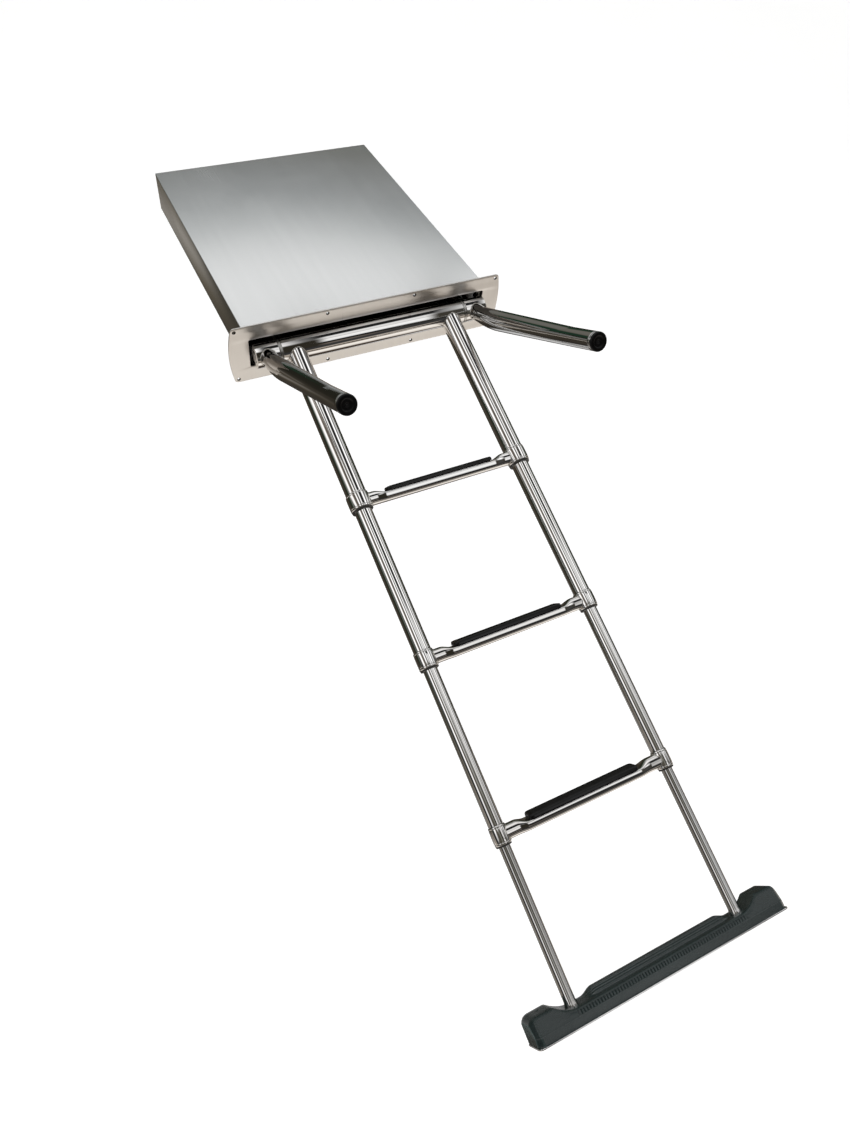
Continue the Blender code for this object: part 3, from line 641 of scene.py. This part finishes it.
def handle_point(run):
    """Centre (rise, reach) and heading of the handle at a distance along it."""
    radius = HANDLE_BEND_LENGTH / HANDLE_BEND
    turned_part = min(max(run - HANDLE_BEND_START, 0.0), HANDLE_BEND_LENGTH)
    angle = HANDLE_BEND * turned_part / HANDLE_BEND_LENGTH
    straight = min(run, HANDLE_BEND_START)
    rest = max(0.0, run - HANDLE_BEND_START - HANDLE_BEND_LENGTH)
    rise = radius * (1 - math.cos(angle)) + rest * math.sin(angle)
    reach = straight + radius * math.sin(angle) + rest * math.cos(angle)
    return rise, reach, angle


def handle_length(word, matrix):
    """Length along the handle at which its CAD cap begins."""
    heading = Vector((0, math.sin(HANDLE_BEND), math.cos(HANDLE_BEND)))
    inverse = matrix.inverted()
    tip = max((inverse @ v.co).dot(heading) for v in frame["nodes"][f"handle_cap_{word}"].data.vertices)
    bent = HANDLE_BEND_START + HANDLE_BEND_LENGTH
    rise, reach, angle = handle_point(bent)
    return bent + tip - Vector((0, rise, reach)).dot(heading)


def build_handles():
    """Hub, bent tube coped onto it with a ring line near its end, weld and cap."""
    cap_thickness = 0.0045
    for word, side in SIDES:
        matrix = handle_frame(word)
        body = f"handle_{word}"
        low, high = local_box(f"handle_hub_{word}", matrix)
        hub = turned(sleeve_outline(low.x, high.x, 0.006), "X")
        piece(f"hub_{word}", hub, matrix, body, STEEL_X, [f"handle_hub_{word}"])
        length = handle_length(word, matrix) - cap_thickness
        bm = bmesh.new()
        inner = HANDLE_RADIUS - TUBE_WALL
        runs = [0.03 + (length - 0.03) * i / 60 for i in range(61)]
        outer_plan = [(HANDLE_RADIUS, r) for r in runs[:-1]]
        line = HANDLE_RADIUS - 0.0003
        outer_plan += [(HANDLE_RADIUS, length - 0.0042), (line, length - 0.0038), (line, length - 0.0032),
                       (HANDLE_RADIUS, length - 0.0028), (HANDLE_RADIUS, length - 0.0006),
                       (HANDLE_RADIUS - 0.0005, length)]
        inner_plan = [(inner, length), (inner, length - 0.02), (inner, 0.03)]
        rings = [cope_ring(HANDLE_RADIUS)]
        for radius, run in outer_plan + inner_plan:
            rise, reach, angle = handle_point(run)
            ring = []
            for across, up in circle(radius):
                ring.append((across, rise + up * math.cos(angle), reach - up * math.sin(angle)))
            rings.append(ring)
        rings.append(cope_ring(inner))
        skin(bm, rings, closed=True)
        piece(f"grip_{word}", bm, matrix, body, HANDLE_SHADED_STEEL, [f"handle_tube_{word}"])
        loop = cope_ring(HANDLE_RADIUS, count=320)
        piece(f"weld_handle_{word}", bead(loop, 44), matrix, body, WELD)
        rise, reach, angle = handle_point(length)
        tip = matrix @ Matrix.Translation((0, rise, reach)) @ Matrix.Rotation(-angle, 4, "X")
        build_cap(word, tip, body, inner, cap_thickness)


def crossbar_surface(up):
    """Distance from the pivot's axis to the crossbar's skin, less the cope's depth."""
    return math.sqrt(CROSSBAR_RADIUS ** 2 - up ** 2) - COPE_DEPTH


def cope_ring(radius, count=ROUND):
    """Ring where a tube of this radius meets the crossbar."""
    return [(across, up, crossbar_surface(up)) for across, up in circle(radius, count)]


def build_cap(word, tip, body, inner, thickness):
    """Plug cap with a thick rounded rim, dished centre and a moulded gate mark."""
    rim = HANDLE_RADIUS + 0.0001
    outline = fillet([
        (0.0004, -0.014, 0.0), (inner - GAP, -0.014, 0.0008), (inner - GAP, 0.0002, 0.0),
        (rim, 0.0002, 0.0003), (rim, thickness, 0.0022), (0.0100, thickness - 0.0001, 0.0010),
        (0.0086, thickness - 0.0016, 0.0010), (0.0036, thickness - 0.0017, 0.0006),
        (0.0028, thickness - 0.0027, 0.0004), (0.0004, thickness - 0.0027, 0.0),
    ], 0.0003)
    piece(f"cap_{word}", turned(outline, segments=72), tip, body, CAP_PLASTIC,
          [f"handle_cap_{word}"])


# ------------------------------------------------------------------ ladder

def build_sleeve():
    low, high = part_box("crossbar_sleeve")
    place = Matrix.Translation(PIVOT)
    piece("crossbar", turned(sleeve_outline(low.x, high.x, 0.012), "X"), place, "section_1", STEEL_X,
          ["crossbar_sleeve"])


def axis_and_radius(node):
    """X of a round ladder node's axis, and its radius."""
    low, high = local_box(node, LADDER)
    return (low.x + high.x) / 2, (high.x - low.x) / 2


def build_stiles(section):
    """Tubes of one section, coped onto the crossbar or flared at the step, with their guides."""
    body = f"section_{section}"
    for word, side in SIDES:
        node = f"stile_{section}_{word}"
        low, high = local_box(node, LADDER)
        x, radius = axis_and_radius(node)
        start = low.z
        if section == 1:
            start = crossbar_surface
            loop = [(x + across, up, start(up)) for across, up in circle(radius, 400)]
            piece(f"weld_stile_{word}", bead(loop, 52), LADDER, body, WELD)
        foot = []
        if section == 4:
            surface = local_box("step_moulding", LADDER)[1].z - STEP_HEIGHT
            foot = [(radius, surface - FOOT_LENGTH, 0.0),
                    (radius + FOOT_FLARE * 0.7, surface - FOOT_LENGTH * 0.6, 0.0),
                    (radius + FOOT_FLARE, surface, 0.0), (radius + FOOT_FLARE, surface + 0.001, 0.0),
                    (radius, surface + 0.001, 0.0)]
        bm = pipe(x, radius, radius - TUBE_WALL, start, high.z, extra=foot)
        # Section 4's tubes take the darker copy of the steel, which is painted shade.
        steel = SECTION_4_SHADED_STEEL if section == 4 else STEEL_Z
        piece(f"tube_{section}_{word}", bm, LADDER, body, steel, [node])
        if section > 1:
            build_guide(section, word, body, x)


def build_guide(section, word, body, x):
    node = f"guide_ring_{section}_{word}"
    low, high = local_box(node, LADDER)
    outer = axis_and_radius(node)[1]
    inner = axis_and_radius(f"stile_{section}_{word}")[1] + GAP
    outline = fillet([
        (outer, low.z, 0.0008), (outer, high.z, 0.0008), (inner, high.z), (inner, low.z + 0.002),
        (inner - 0.0018, low.z + 0.002), (inner - 0.0018, low.z),
    ], 0.0003)
    piece(f"guide_{section}_{word}", turned(outline, offset=(x, 0, 0)), LADDER, body, BUSH_PLASTIC,
          [node])


def build_collars(section):
    """Collars with ring lines at both edges, and the bushes' lips below them."""
    body = f"section_{section}"
    for word, side in SIDES:
        low, high = local_box(f"collar_{section}_{word}", LADDER)
        x, radius = axis_and_radius(f"collar_{section}_{word}")
        bore = axis_and_radius(f"stile_{section}_{word}")[1] - TUBE_WALL
        top, bottom = low.z, high.z
        groove = 0.0009
        outline = fillet([
            (radius - 0.0012, top, 0.0005), (radius - 0.0004, top + 0.0010, 0.0004),
            (radius - 0.0003, top + 0.0028, 0.0003), (radius - groove, top + 0.0032, 0.0002),
            (radius - groove, top + 0.0039, 0.0002), (radius - 0.0002, top + 0.0043, 0.0003),
            (radius, (top + bottom) / 2, 0.012),
            (radius - 0.0002, bottom - 0.0043, 0.0003), (radius - groove, bottom - 0.0039, 0.0002),
            (radius - groove, bottom - 0.0032, 0.0002), (radius - 0.0003, bottom - 0.0028, 0.0003),
            (radius - 0.0004, bottom - 0.0010, 0.0004), (radius - 0.0012, bottom, 0.0005),
            (bore, bottom), (bore, top),
        ], 0.0003)
        piece(f"sleeve_{section}_{word}", turned(outline, offset=(x, 0, 0)), LADDER, body, STEEL_Z,
              [f"collar_{section}_{word}"])
        low, high = local_box(f"collar_bush_{section}_{word}", LADDER)
        lip = axis_and_radius(f"collar_bush_{section}_{word}")[1]
        slide = axis_and_radius(f"stile_{section + 1}_{word}")[1] + GAP
        outline = fillet([
            (bore - GAP, low.z), (bore - GAP, bottom + GAP), (lip, bottom + GAP, 0.0005),
            (lip, high.z, 0.0022), (slide, high.z, 0.0005), (slide, low.z),
        ], 0.0003)
        piece(f"bush_{section}_{word}", turned(outline, offset=(x, 0, 0)), LADDER, body, BUSH_PLASTIC,
              [f"collar_bush_{section}_{word}"])


def ease(value, start, end):
    """Smooth step from 0 at start to 1 at end."""
    share = min(max((value - start) / (end - start), 0.0), 1.0)
    return share * share * (3 - 2 * share)


def rung_section(flat, radius_cut=0.0, count=64):
    """Outline (across, up) of a rung: round at flat 0, pressed flat on top and wider at 1."""
    points = []
    for i in range(count):
        turn = 2 * math.pi * i / count
        c, s = math.cos(turn), math.sin(turn)
        width = RUNG_RADIUS + flat * (RUNG_HALF_WIDTH - RUNG_RADIUS) - radius_cut
        if s >= 0:
            height = RUNG_RADIUS + flat * (RUNG_FLAT - RUNG_RADIUS) - radius_cut
            power = 1 - 0.55 * flat
            up = height * s ** power if s > 0 else 0.0
        else:
            power = 1 - 0.12 * flat
            up = -(RUNG_RADIUS - radius_cut) * (-s) ** power
        across = width * math.copysign(abs(c) ** (1 - 0.30 * flat), c)
        points.append((across * math.cos(TREAD_TILT) + up * math.sin(TREAD_TILT),
                       up * math.cos(TREAD_TILT) - across * math.sin(TREAD_TILT)))
    return points


def build_rung(section):
    """Rung tube pressed flat under its pad, welded between the collars."""
    body = f"section_{section}"
    node = f"rung_{section}"
    low, high = local_box(node, LADDER)
    drop = (low.z + high.z) / 2
    stile_x, collar = axis_and_radius(f"collar_{section}_right")
    reach_in = 0.0003  # how far the rung's ends go into the collars
    inside = [-RUNG_ROUND_START + (RUNG_ROUND_START - RUNG_FLAT_END) * i / 14 for i in range(15)]
    places = inside + [-x for x in reversed(inside)]

    def end_ring(side, radius, cut_depth=0.0, count=64):
        """Where the rung meets a collar of this radius."""
        return [(side * (stile_x - math.sqrt(radius ** 2 - across ** 2)), across, drop - up)
                for across, up in rung_section(0.0, cut_depth, count)]

    skins = []
    for cut_depth in (0.0, TUBE_WALL):
        rings = [end_ring(-1, collar - reach_in, cut_depth)]
        for x in places:
            flat = 1 - ease(abs(x), RUNG_FLAT_END, RUNG_ROUND_START)
            rings.append([(x, across, drop - up) for across, up in rung_section(flat, cut_depth)])
        rings.append(end_ring(1, collar - reach_in, cut_depth))
        skins.append(rings)
    bm = bmesh.new()
    skin(bm, skins[0] + skins[1][::-1], closed=True)
    piece(f"rung_tube_{section}", bm, LADDER, body, STEEL_X, [node])
    for word, side in SIDES:
        weld = bead(end_ring(side, collar, count=300), 38, 0.0009)
        piece(f"weld_rung_{section}_{word}", weld, LADDER, body, WELD)


def build_tread(section):
    """Rubber pad with lengthwise ribs, a raised border and rounded corners."""
    body = f"section_{section}"
    node = f"tread_{section}"
    rung_low, rung_high = local_box(f"rung_{section}", LADDER)
    place = Matrix.Translation((0, 0, (rung_low.z + rung_high.z) / 2))
    matrix = LADDER @ place @ Matrix.Rotation(TREAD_TILT, 4, "X")
    low, high = local_box(node, matrix)
    half = high.x
    width = (high.y - low.y) / 2
    seat, top = high.z, low.z
    thickness = seat - top
    corner = TREAD_CORNER
    across_steps = 96
    stations = []
    for i in range(13):
        turn = math.pi / 2 * i / 12
        stations.append(half - corner + corner * math.sin(turn))
    places = [-x for x in reversed(stations)] + stations
    rings = []
    for x in places:
        depth = max(0.0, abs(x) - (half - corner))
        reach = width - corner + math.sqrt(max(0.0, corner ** 2 - depth ** 2))
        fall = 1 - 0.30 * (1 - math.sqrt(max(0.0, 1 - (depth / corner) ** 2)))
        ring = [(x, -reach, seat), (x, -reach * 0.5, seat), (x, reach * 0.5, seat), (x, reach, seat)]
        for k in range(across_steps + 1):
            place = 1 - 2 * k / across_steps
            rib = 0.5 + 0.5 * math.cos(math.pi * (2 * TREAD_RIBS - 1) * (place + 1))
            round_off = (1 - abs(place) ** 12)
            fade = ease(half - abs(x), 0.004, 0.010) * ease(1 - abs(place), 0.04, 0.14)
            height = thickness * (0.52 + 0.48 * round_off) - 0.0011 * (1 - rib) * fade
            ring.append((x, reach * place, seat - height * fall))
        rings.append(ring)
    bm = bmesh.new()
    skin(bm, rings, closed=False)
    piece(f"pad_{section}", bm, matrix, body, RUBBER, [node], sharp=50.0)


# ------------------------------------------------------------------ bottom step

def step_section(x, box_low, box_high, sole):
    """Outline (across, along) of the step at a place along it."""
    away = abs(x)
    front, back = box_high.y, box_low.y
    surface = sole - STEP_HEIGHT
    block = min(max((away - BLOCK_START) / BLOCK_RUN, 0.0), 1.0) ** 2
    ridge = 1 - ease(abs(x - RIDGE_SHIFT), RIDGE_FLAT, RIDGE_END)
    over = min(max((away - STEP_ROUNDING) / (box_high.x - STEP_ROUNDING), 0.0), 1.0)
    edge = surface - block * BLOCK_HEIGHT + 0.012 * (1 - math.sqrt(1 - over ** 2))
    chamfer = max(0.0, away - (box_high.x - END_CHAMFER))
    crease = sole - 0.0128
    lean = 0.0026 + 0.0030 * block
    rib_wave = 0.5 - 0.5 * math.cos(2 * math.pi * x / RIB_PITCH)
    rib = RIB_DEPTH * max(0.0, 1.8 * rib_wave - 0.8) * (1 - ease(away, RIB_END - 0.004, RIB_END))
    face = front - chamfer
    groove = 0.0010 * ridge
    rise = 0.0070 * ridge
    corners = [
        (back, sole, 0.0015), (face, sole, 0.0012), (face, crease + 0.0008, 0.0003),
        (face - 0.0008, crease, 0.0002), (face - 0.0006 - rib, crease - 0.0008, 0.0002),
        (face - lean * 0.5 - rib, (crease + edge) / 2 + 0.0008, 0.0002),
        (face - lean * 0.85 - rib, min(edge + 0.0034, crease - 0.0014), 0.0002),
        (face - lean * 0.85, min(edge + 0.0026, crease - 0.0020), 0.0003),
        (face - lean, edge + 0.0022, 0.0020),
        (face - lean - 0.0028, edge, 0.0020), (0.0070, edge, 0.0006),
        (0.0062, edge + groove, 0.0004), (0.0045, edge + groove, 0.0004), (0.0037, edge, 0.0006),
        (0.0024, edge - rise * 0.38, 0.0008), (-0.0012, edge - rise * 0.42, 0.0006),
        (-0.0022, edge - rise * 0.70, 0.0008), (-0.0060, edge - rise * 0.74, 0.0006),
        (-0.0070, edge - rise, 0.0008), (-0.0105, edge - rise, 0.0005),
        (-0.0112, edge - rise + groove, 0.0004), (-0.0128, edge - rise + groove, 0.0004),
        (-0.0135, edge - rise, 0.0005), (back + 0.0005, edge - rise, 0.0020),
    ]
    return [(x, across, along) for across, along in fillet(corners, 0.0004, steps=3)]


def build_step():
    """Moulded step, drilled for the tubes and its vents, with the steel plate on its sole."""
    low, high = local_box("step_moulding", LADDER)
    sole = high.z
    places = []
    x = 0.0
    while x < RIB_END:
        places.append(x)
        x += RIB_PITCH / 8
    places += [RIB_END + (STEP_ROUNDING - RIB_END) * i / 24 for i in range(25)]
    places += [STEP_ROUNDING + (high.x - STEP_ROUNDING) * math.sin(math.pi / 2 * i / 16)
               for i in range(1, 17)]
    inset = 0.0008
    places[-1] = high.x - inset
    places = [-p for p in reversed(places[1:])] + places
    rings = [step_section(p, low, high, sole) for p in places]
    for index, side in ((0, -1), (-1, 1)):
        end = rings[index]
        centre = Vector((side * high.x, sum(p[1] for p in end) / len(end), sum(p[2] for p in end) / len(end)))
        cap = []
        for p in end:
            inward = (Vector((side * high.x, p[1], p[2])) - centre)
            cap.append(tuple(centre + inward * (1 - inset / max(inward.length, inset))))
        rings = [cap] + rings if side < 0 else rings + [cap]
    bm = bmesh.new()
    skin(bm, rings, closed=False)
    step = piece("bottom_step", bm, LADDER, "section_4", STEP_PLASTIC, ["step_moulding"])
    surface = sole - STEP_HEIGHT
    cuts = []
    stile_x, tube = axis_and_radius("stile_4_right")
    vent = 0.0022
    for word, side in SIDES:
        stile = (side * stile_x, 0, 0)
        terrace_vent, block_vent = (RIDGE_SHIFT + side * 0.085, -0.0155, 0), (side * 0.214, -0.006, 0)
        for plug in (rod(tube + GAP, surface - 0.02, sole - 0.0047, stile),
                     rod(tube + FOOT_FLARE + GAP, surface - 0.02, surface + 0.0015, stile),
                     rod(vent, surface - 0.02, surface + 0.001, terrace_vent, segments=24),
                     rod(vent, surface - 0.03, surface - 0.010, block_vent, segments=24)):
            cuts.append(cutter(plug, LADDER))
    carve(step, cuts)
    build_cover()


def build_cover():
    """Steel plate under the step, corners rounded in plan and edges eased."""
    low, high = local_box("step_cover", LADDER)
    plan = fillet([(low.x, low.y), (high.x, low.y), (high.x, high.y, 0.009), (low.x, high.y, 0.009)],
                  0.004, steps=8)
    centre_y = (low.y + high.y) / 2
    rings = []
    ease_in = 0.0007
    for z, inset in ((low.z, ease_in), (low.z + ease_in * 0.3, ease_in * 0.3), (low.z + ease_in, 0.0),
                     (high.z - ease_in, 0.0), (high.z - ease_in * 0.3, ease_in * 0.3), (high.z, ease_in)):
        rings.append([(x - math.copysign(inset, x), y - math.copysign(inset, y - centre_y), z)
                      for x, y in plan])
    bm = bmesh.new()
    skin(bm, rings, closed=False)
    piece("sole_plate", bm, LADDER, "section_4", COVER_STEEL, ["step_cover"])


# ------------------------------------------------------------------ studio

def build_floor():
    """Plain pale floor below the ladder's lowest point, and a white backdrop around it."""
    bm = bmesh.new()
    bmesh.ops.create_circle(bm, cap_ends=True, segments=96, radius=24.0)
    mesh = bpy.data.meshes.new("floor")
    bm.to_mesh(mesh)
    bm.free()
    floor = bpy.data.objects.new("floor", mesh)
    floor.location.z = FLOOR_Z
    bpy.context.scene.collection.objects.link(floor)
    m = Nodes("floor_white")
    m.feed("Base Color", m.ramp(m.noise((1.5, 1.5, 1.5)), [(0.3, 0.86), (0.7, 0.88)]))
    m.feed("Roughness", 0.9)
    m.feed("Emission Color", (1.0, 1.0, 1.0, 1.0))
    m.feed("Emission Strength", 0.55)
    mesh.materials.append(m.material)
    floor.visible_glossy = False
    bm = bmesh.new()
    bmesh.ops.create_icosphere(bm, subdivisions=4, radius=23.0)
    bmesh.ops.reverse_faces(bm, faces=bm.faces)
    mesh = bpy.data.meshes.new("backdrop")
    bm.to_mesh(mesh)
    bm.free()
    dome = bpy.data.objects.new("backdrop", mesh)
    bpy.context.scene.collection.objects.link(dome)
    material = bpy.data.materials.new("backdrop_white")
    material.use_nodes = True
    tree = material.node_tree
    tree.nodes.clear()
    glow = tree.nodes.new("ShaderNodeEmission")
    glow.inputs["Strength"].default_value = 1.0
    output = tree.nodes.new("ShaderNodeOutputMaterial")
    tree.links.new(glow.outputs[0], output.inputs["Surface"])
    mesh.materials.append(material)
    for ray in ("diffuse", "glossy", "transmission", "shadow", "volume_scatter"):
        setattr(dome, f"visible_{ray}", False)


# Surroundings as bands of (place, colour), each over one coordinate of the direction
OVERHEAD = [
    (-1.00, 0.02), (-0.93, 0.04), (-0.89, 1.20), (-0.78, 1.45), (-0.71, (0.20, 0.17, 0.14)),
    (-0.53, (0.10, 0.085, 0.07)), (-0.46, 0.20), (-0.40, 1.40), (-0.27, 1.40), (-0.19, 0.14), (-0.05, 0.10),
    (0.00, 1.20), (0.10, 1.30), (0.17, 0.20), (0.22, 0.02), (0.48, 0.02), (0.54, 0.50), (0.61, 1.45),
    (0.70, 1.40), (0.76, 0.20), (0.84, 0.18), (0.88, 1.10), (0.93, 0.90), (0.97, 0.20), (1.00, 0.05),
]
OVERHEAD_NEAR = [
    (-1.00, 0.03), (-0.88, 0.06), (-0.80, (0.10, 0.09, 0.07)), (-0.70, (0.02, 0.018, 0.012)),
    (-0.60, (0.15, 0.14, 0.115)), (-0.48, (0.025, 0.023, 0.016)), (-0.36, (0.15, 0.145, 0.12)),
    (-0.10, (0.20, 0.195, 0.17)), (0.00, (0.03, 0.027, 0.02)), (0.20, (0.03, 0.027, 0.02)),
    (0.52, (0.05, 0.045, 0.035)), (0.66, 0.07), (0.80, (0.22, 0.21, 0.19)), (0.90, 0.06), (1.00, 0.03),
]
OVERHEAD_RIGHT = [
    (-1.00, 0.12), (-0.91, (0.22, 0.18, 0.15)), (-0.87, 0.02), (-0.77, 0.02), (-0.73, 1.00), (-0.46, 1.10),
    (-0.43, 0.35), (-0.39, 0.95), (-0.13, 0.90), (-0.08, 0.02), (0.35, 0.02), (0.40, 1.00), (1.00, 1.10),
]
BEHIND = [
    (-1.00, (0.08, 0.07, 0.06)), (-0.93, (0.12, 0.10, 0.08)), (-0.885, 0.90), (-0.86, 0.80),
    (-0.83, (0.04, 0.035, 0.03)), (-0.62, (0.07, 0.06, 0.045)), (-0.57, (0.13, 0.11, 0.08)),
    (-0.50, (0.40, 0.37, 0.33)), (-0.42, (0.14, 0.12, 0.09)), (-0.28, (0.03, 0.027, 0.02)),
    (-0.10, (0.025, 0.025, 0.018)), (-0.04, (0.02, 0.06, 0.035)), (0.04, (0.018, 0.045, 0.028)),
    (0.09, (0.20, 0.19, 0.16)), (0.26, (0.27, 0.28, 0.28)), (0.40, (0.40, 0.415, 0.415)),
    (0.49, (0.62, 0.64, 0.64)), (0.58, 0.98), (0.66, 1.12), (1.00, 1.00),
]
BEFORE = [
    (-1.00, (0.05, 0.04, 0.03)), (-0.91, (0.08, 0.06, 0.05)), (-0.88, (0.24, 0.20, 0.17)),
    (-0.82, (1.00, 0.95, 0.88)), (-0.55, (1.10, 1.04, 0.97)), (-0.48, (0.50, 0.44, 0.37)),
    (-0.38, (0.08, 0.06, 0.05)), (-0.28, (0.50, 0.44, 0.37)), (-0.16, (0.42, 0.37, 0.32)),
    (-0.10, 0.05), (0.30, 0.03),
]


def add_world_ramp(tree, value, bands):
    """Colour over a coordinate from -1 to 1."""
    share = tree.nodes.new("ShaderNodeMapRange")
    share.inputs["From Min"].default_value = -1.0
    tree.links.new(value, share.inputs["Value"])
    node = tree.nodes.new("ShaderNodeValToRGB")
    fill_ramp(node.color_ramp.elements, [((place + 1) / 2, colour) for place, colour in bands])
    tree.links.new(share.outputs[0], node.inputs["Fac"])
    return node.outputs["Color"]


def add_world_blend(tree, value, start, end, first, second):
    """Blend of two colours where a coordinate runs from start to end."""
    share = tree.nodes.new("ShaderNodeMapRange")
    share.interpolation_type = "SMOOTHSTEP"
    share.inputs["From Min"].default_value = start
    share.inputs["From Max"].default_value = end
    tree.links.new(value, share.inputs["Value"])
    node = tree.nodes.new("ShaderNodeMix")
    node.data_type = "RGBA"
    tree.links.new(share.outputs[0], node.inputs[0])
    tree.links.new(first, node.inputs[6])
    tree.links.new(second, node.inputs[7])
    return node.outputs[2]


def build_world():
    """Surroundings seen in reflections: bands overhead, behind the object and in front of it."""
    world = bpy.data.worlds.new("studio")
    bpy.context.scene.world = world
    world.use_nodes = True
    tree = world.node_tree
    coords = tree.nodes.new("ShaderNodeTexCoord")
    split = tree.nodes.new("ShaderNodeSeparateXYZ")
    tree.links.new(coords.outputs["Generated"], split.inputs[0])
    x, y, z = split.outputs
    overhead = add_world_ramp(tree, x, OVERHEAD)
    near = add_world_ramp(tree, x, OVERHEAD_NEAR)
    overhead = add_world_blend(tree, y, -0.38, -0.14, near, overhead)
    behind = add_world_ramp(tree, z, BEHIND)
    behind_aside = add_world_ramp(tree, z, [band for band in BEHIND if not -0.60 < band[0] < -0.35])
    behind = add_world_blend(tree, x, 0.0, 0.25, behind, behind_aside)
    behind = add_world_blend(tree, x, -0.38, -0.26, behind_aside, behind)
    before = add_world_ramp(tree, z, BEFORE)
    right = add_world_ramp(tree, y, OVERHEAD_RIGHT)
    banded = add_world_blend(tree, x, 0.19, 0.23, overhead, right)
    banded = add_world_blend(tree, x, 0.47, 0.51, banded, overhead)
    upper = add_world_blend(tree, y, 0.48, 0.66, banded, behind)
    lower = add_world_blend(tree, y, -0.10, 0.25, before, behind)
    whole = add_world_blend(tree, z, 0.10, 0.40, lower, upper)
    background = tree.nodes["Background"]
    tree.links.new(whole, background.inputs["Color"])


def add_softbox(name, location, target, size, power):
    light = bpy.data.lights.new(name, "AREA")
    light.shape = "RECTANGLE"
    light.size, light.size_y = size
    light.energy = power
    obj = bpy.data.objects.new(name, light)
    bpy.context.scene.collection.objects.link(obj)
    obj.location = location
    obj.rotation_euler = (Vector(target) - Vector(location)).to_track_quat("-Z", "Y").to_euler()
    obj.visible_glossy = False


def build_lights():
    add_softbox("key_light", (-1.8, -1.6, 2.4), (0, -0.5, -0.1), (1.6, 1.6), 22.0)
    add_softbox("fill_light", (2.4, -1.8, 1.2), (0, -0.5, -0.1), (1.0, 2.0), 10.0)
    add_softbox("back_light", (0.4, 2.2, 2.4), (0, 0.1, 0), (2.2, 1.0), 8.0)


def build_camera():
    """Pinhole camera at the photo's angle."""
    level = Vector((math.cos(CAMERA_AZIMUTH), math.sin(CAMERA_AZIMUTH), 0))
    away = Vector((math.sin(CAMERA_AZIMUTH), -math.cos(CAMERA_AZIMUTH), 0))
    back = away * math.cos(CAMERA_ELEVATION) + Vector((0, 0, math.sin(CAMERA_ELEVATION)))
    right = level * math.cos(CAMERA_ROLL) + back.cross(level) * math.sin(CAMERA_ROLL)
    data = bpy.data.cameras.new("camera")
    data.sensor_fit = "VERTICAL"
    data.sensor_height = 36.0
    data.lens = CAMERA_LENS
    data.clip_start = 0.01
    camera = bpy.data.objects.new("camera", data)
    bpy.context.scene.collection.objects.link(camera)
    camera.matrix_world = basis(right, back.cross(right), back, CAMERA_PLACE)
    bpy.context.scene.camera = camera
    bpy.context.scene.view_settings.view_transform = "Standard"


build_housing()
build_carriage()
build_handles()
build_sleeve()
for number in (1, 2, 3, 4):
    build_stiles(number)
for number in (1, 2, 3):
    build_collars(number)
    build_rung(number)
    build_tread(number)
build_step()
build_floor()
build_world()
build_lights()
build_camera()
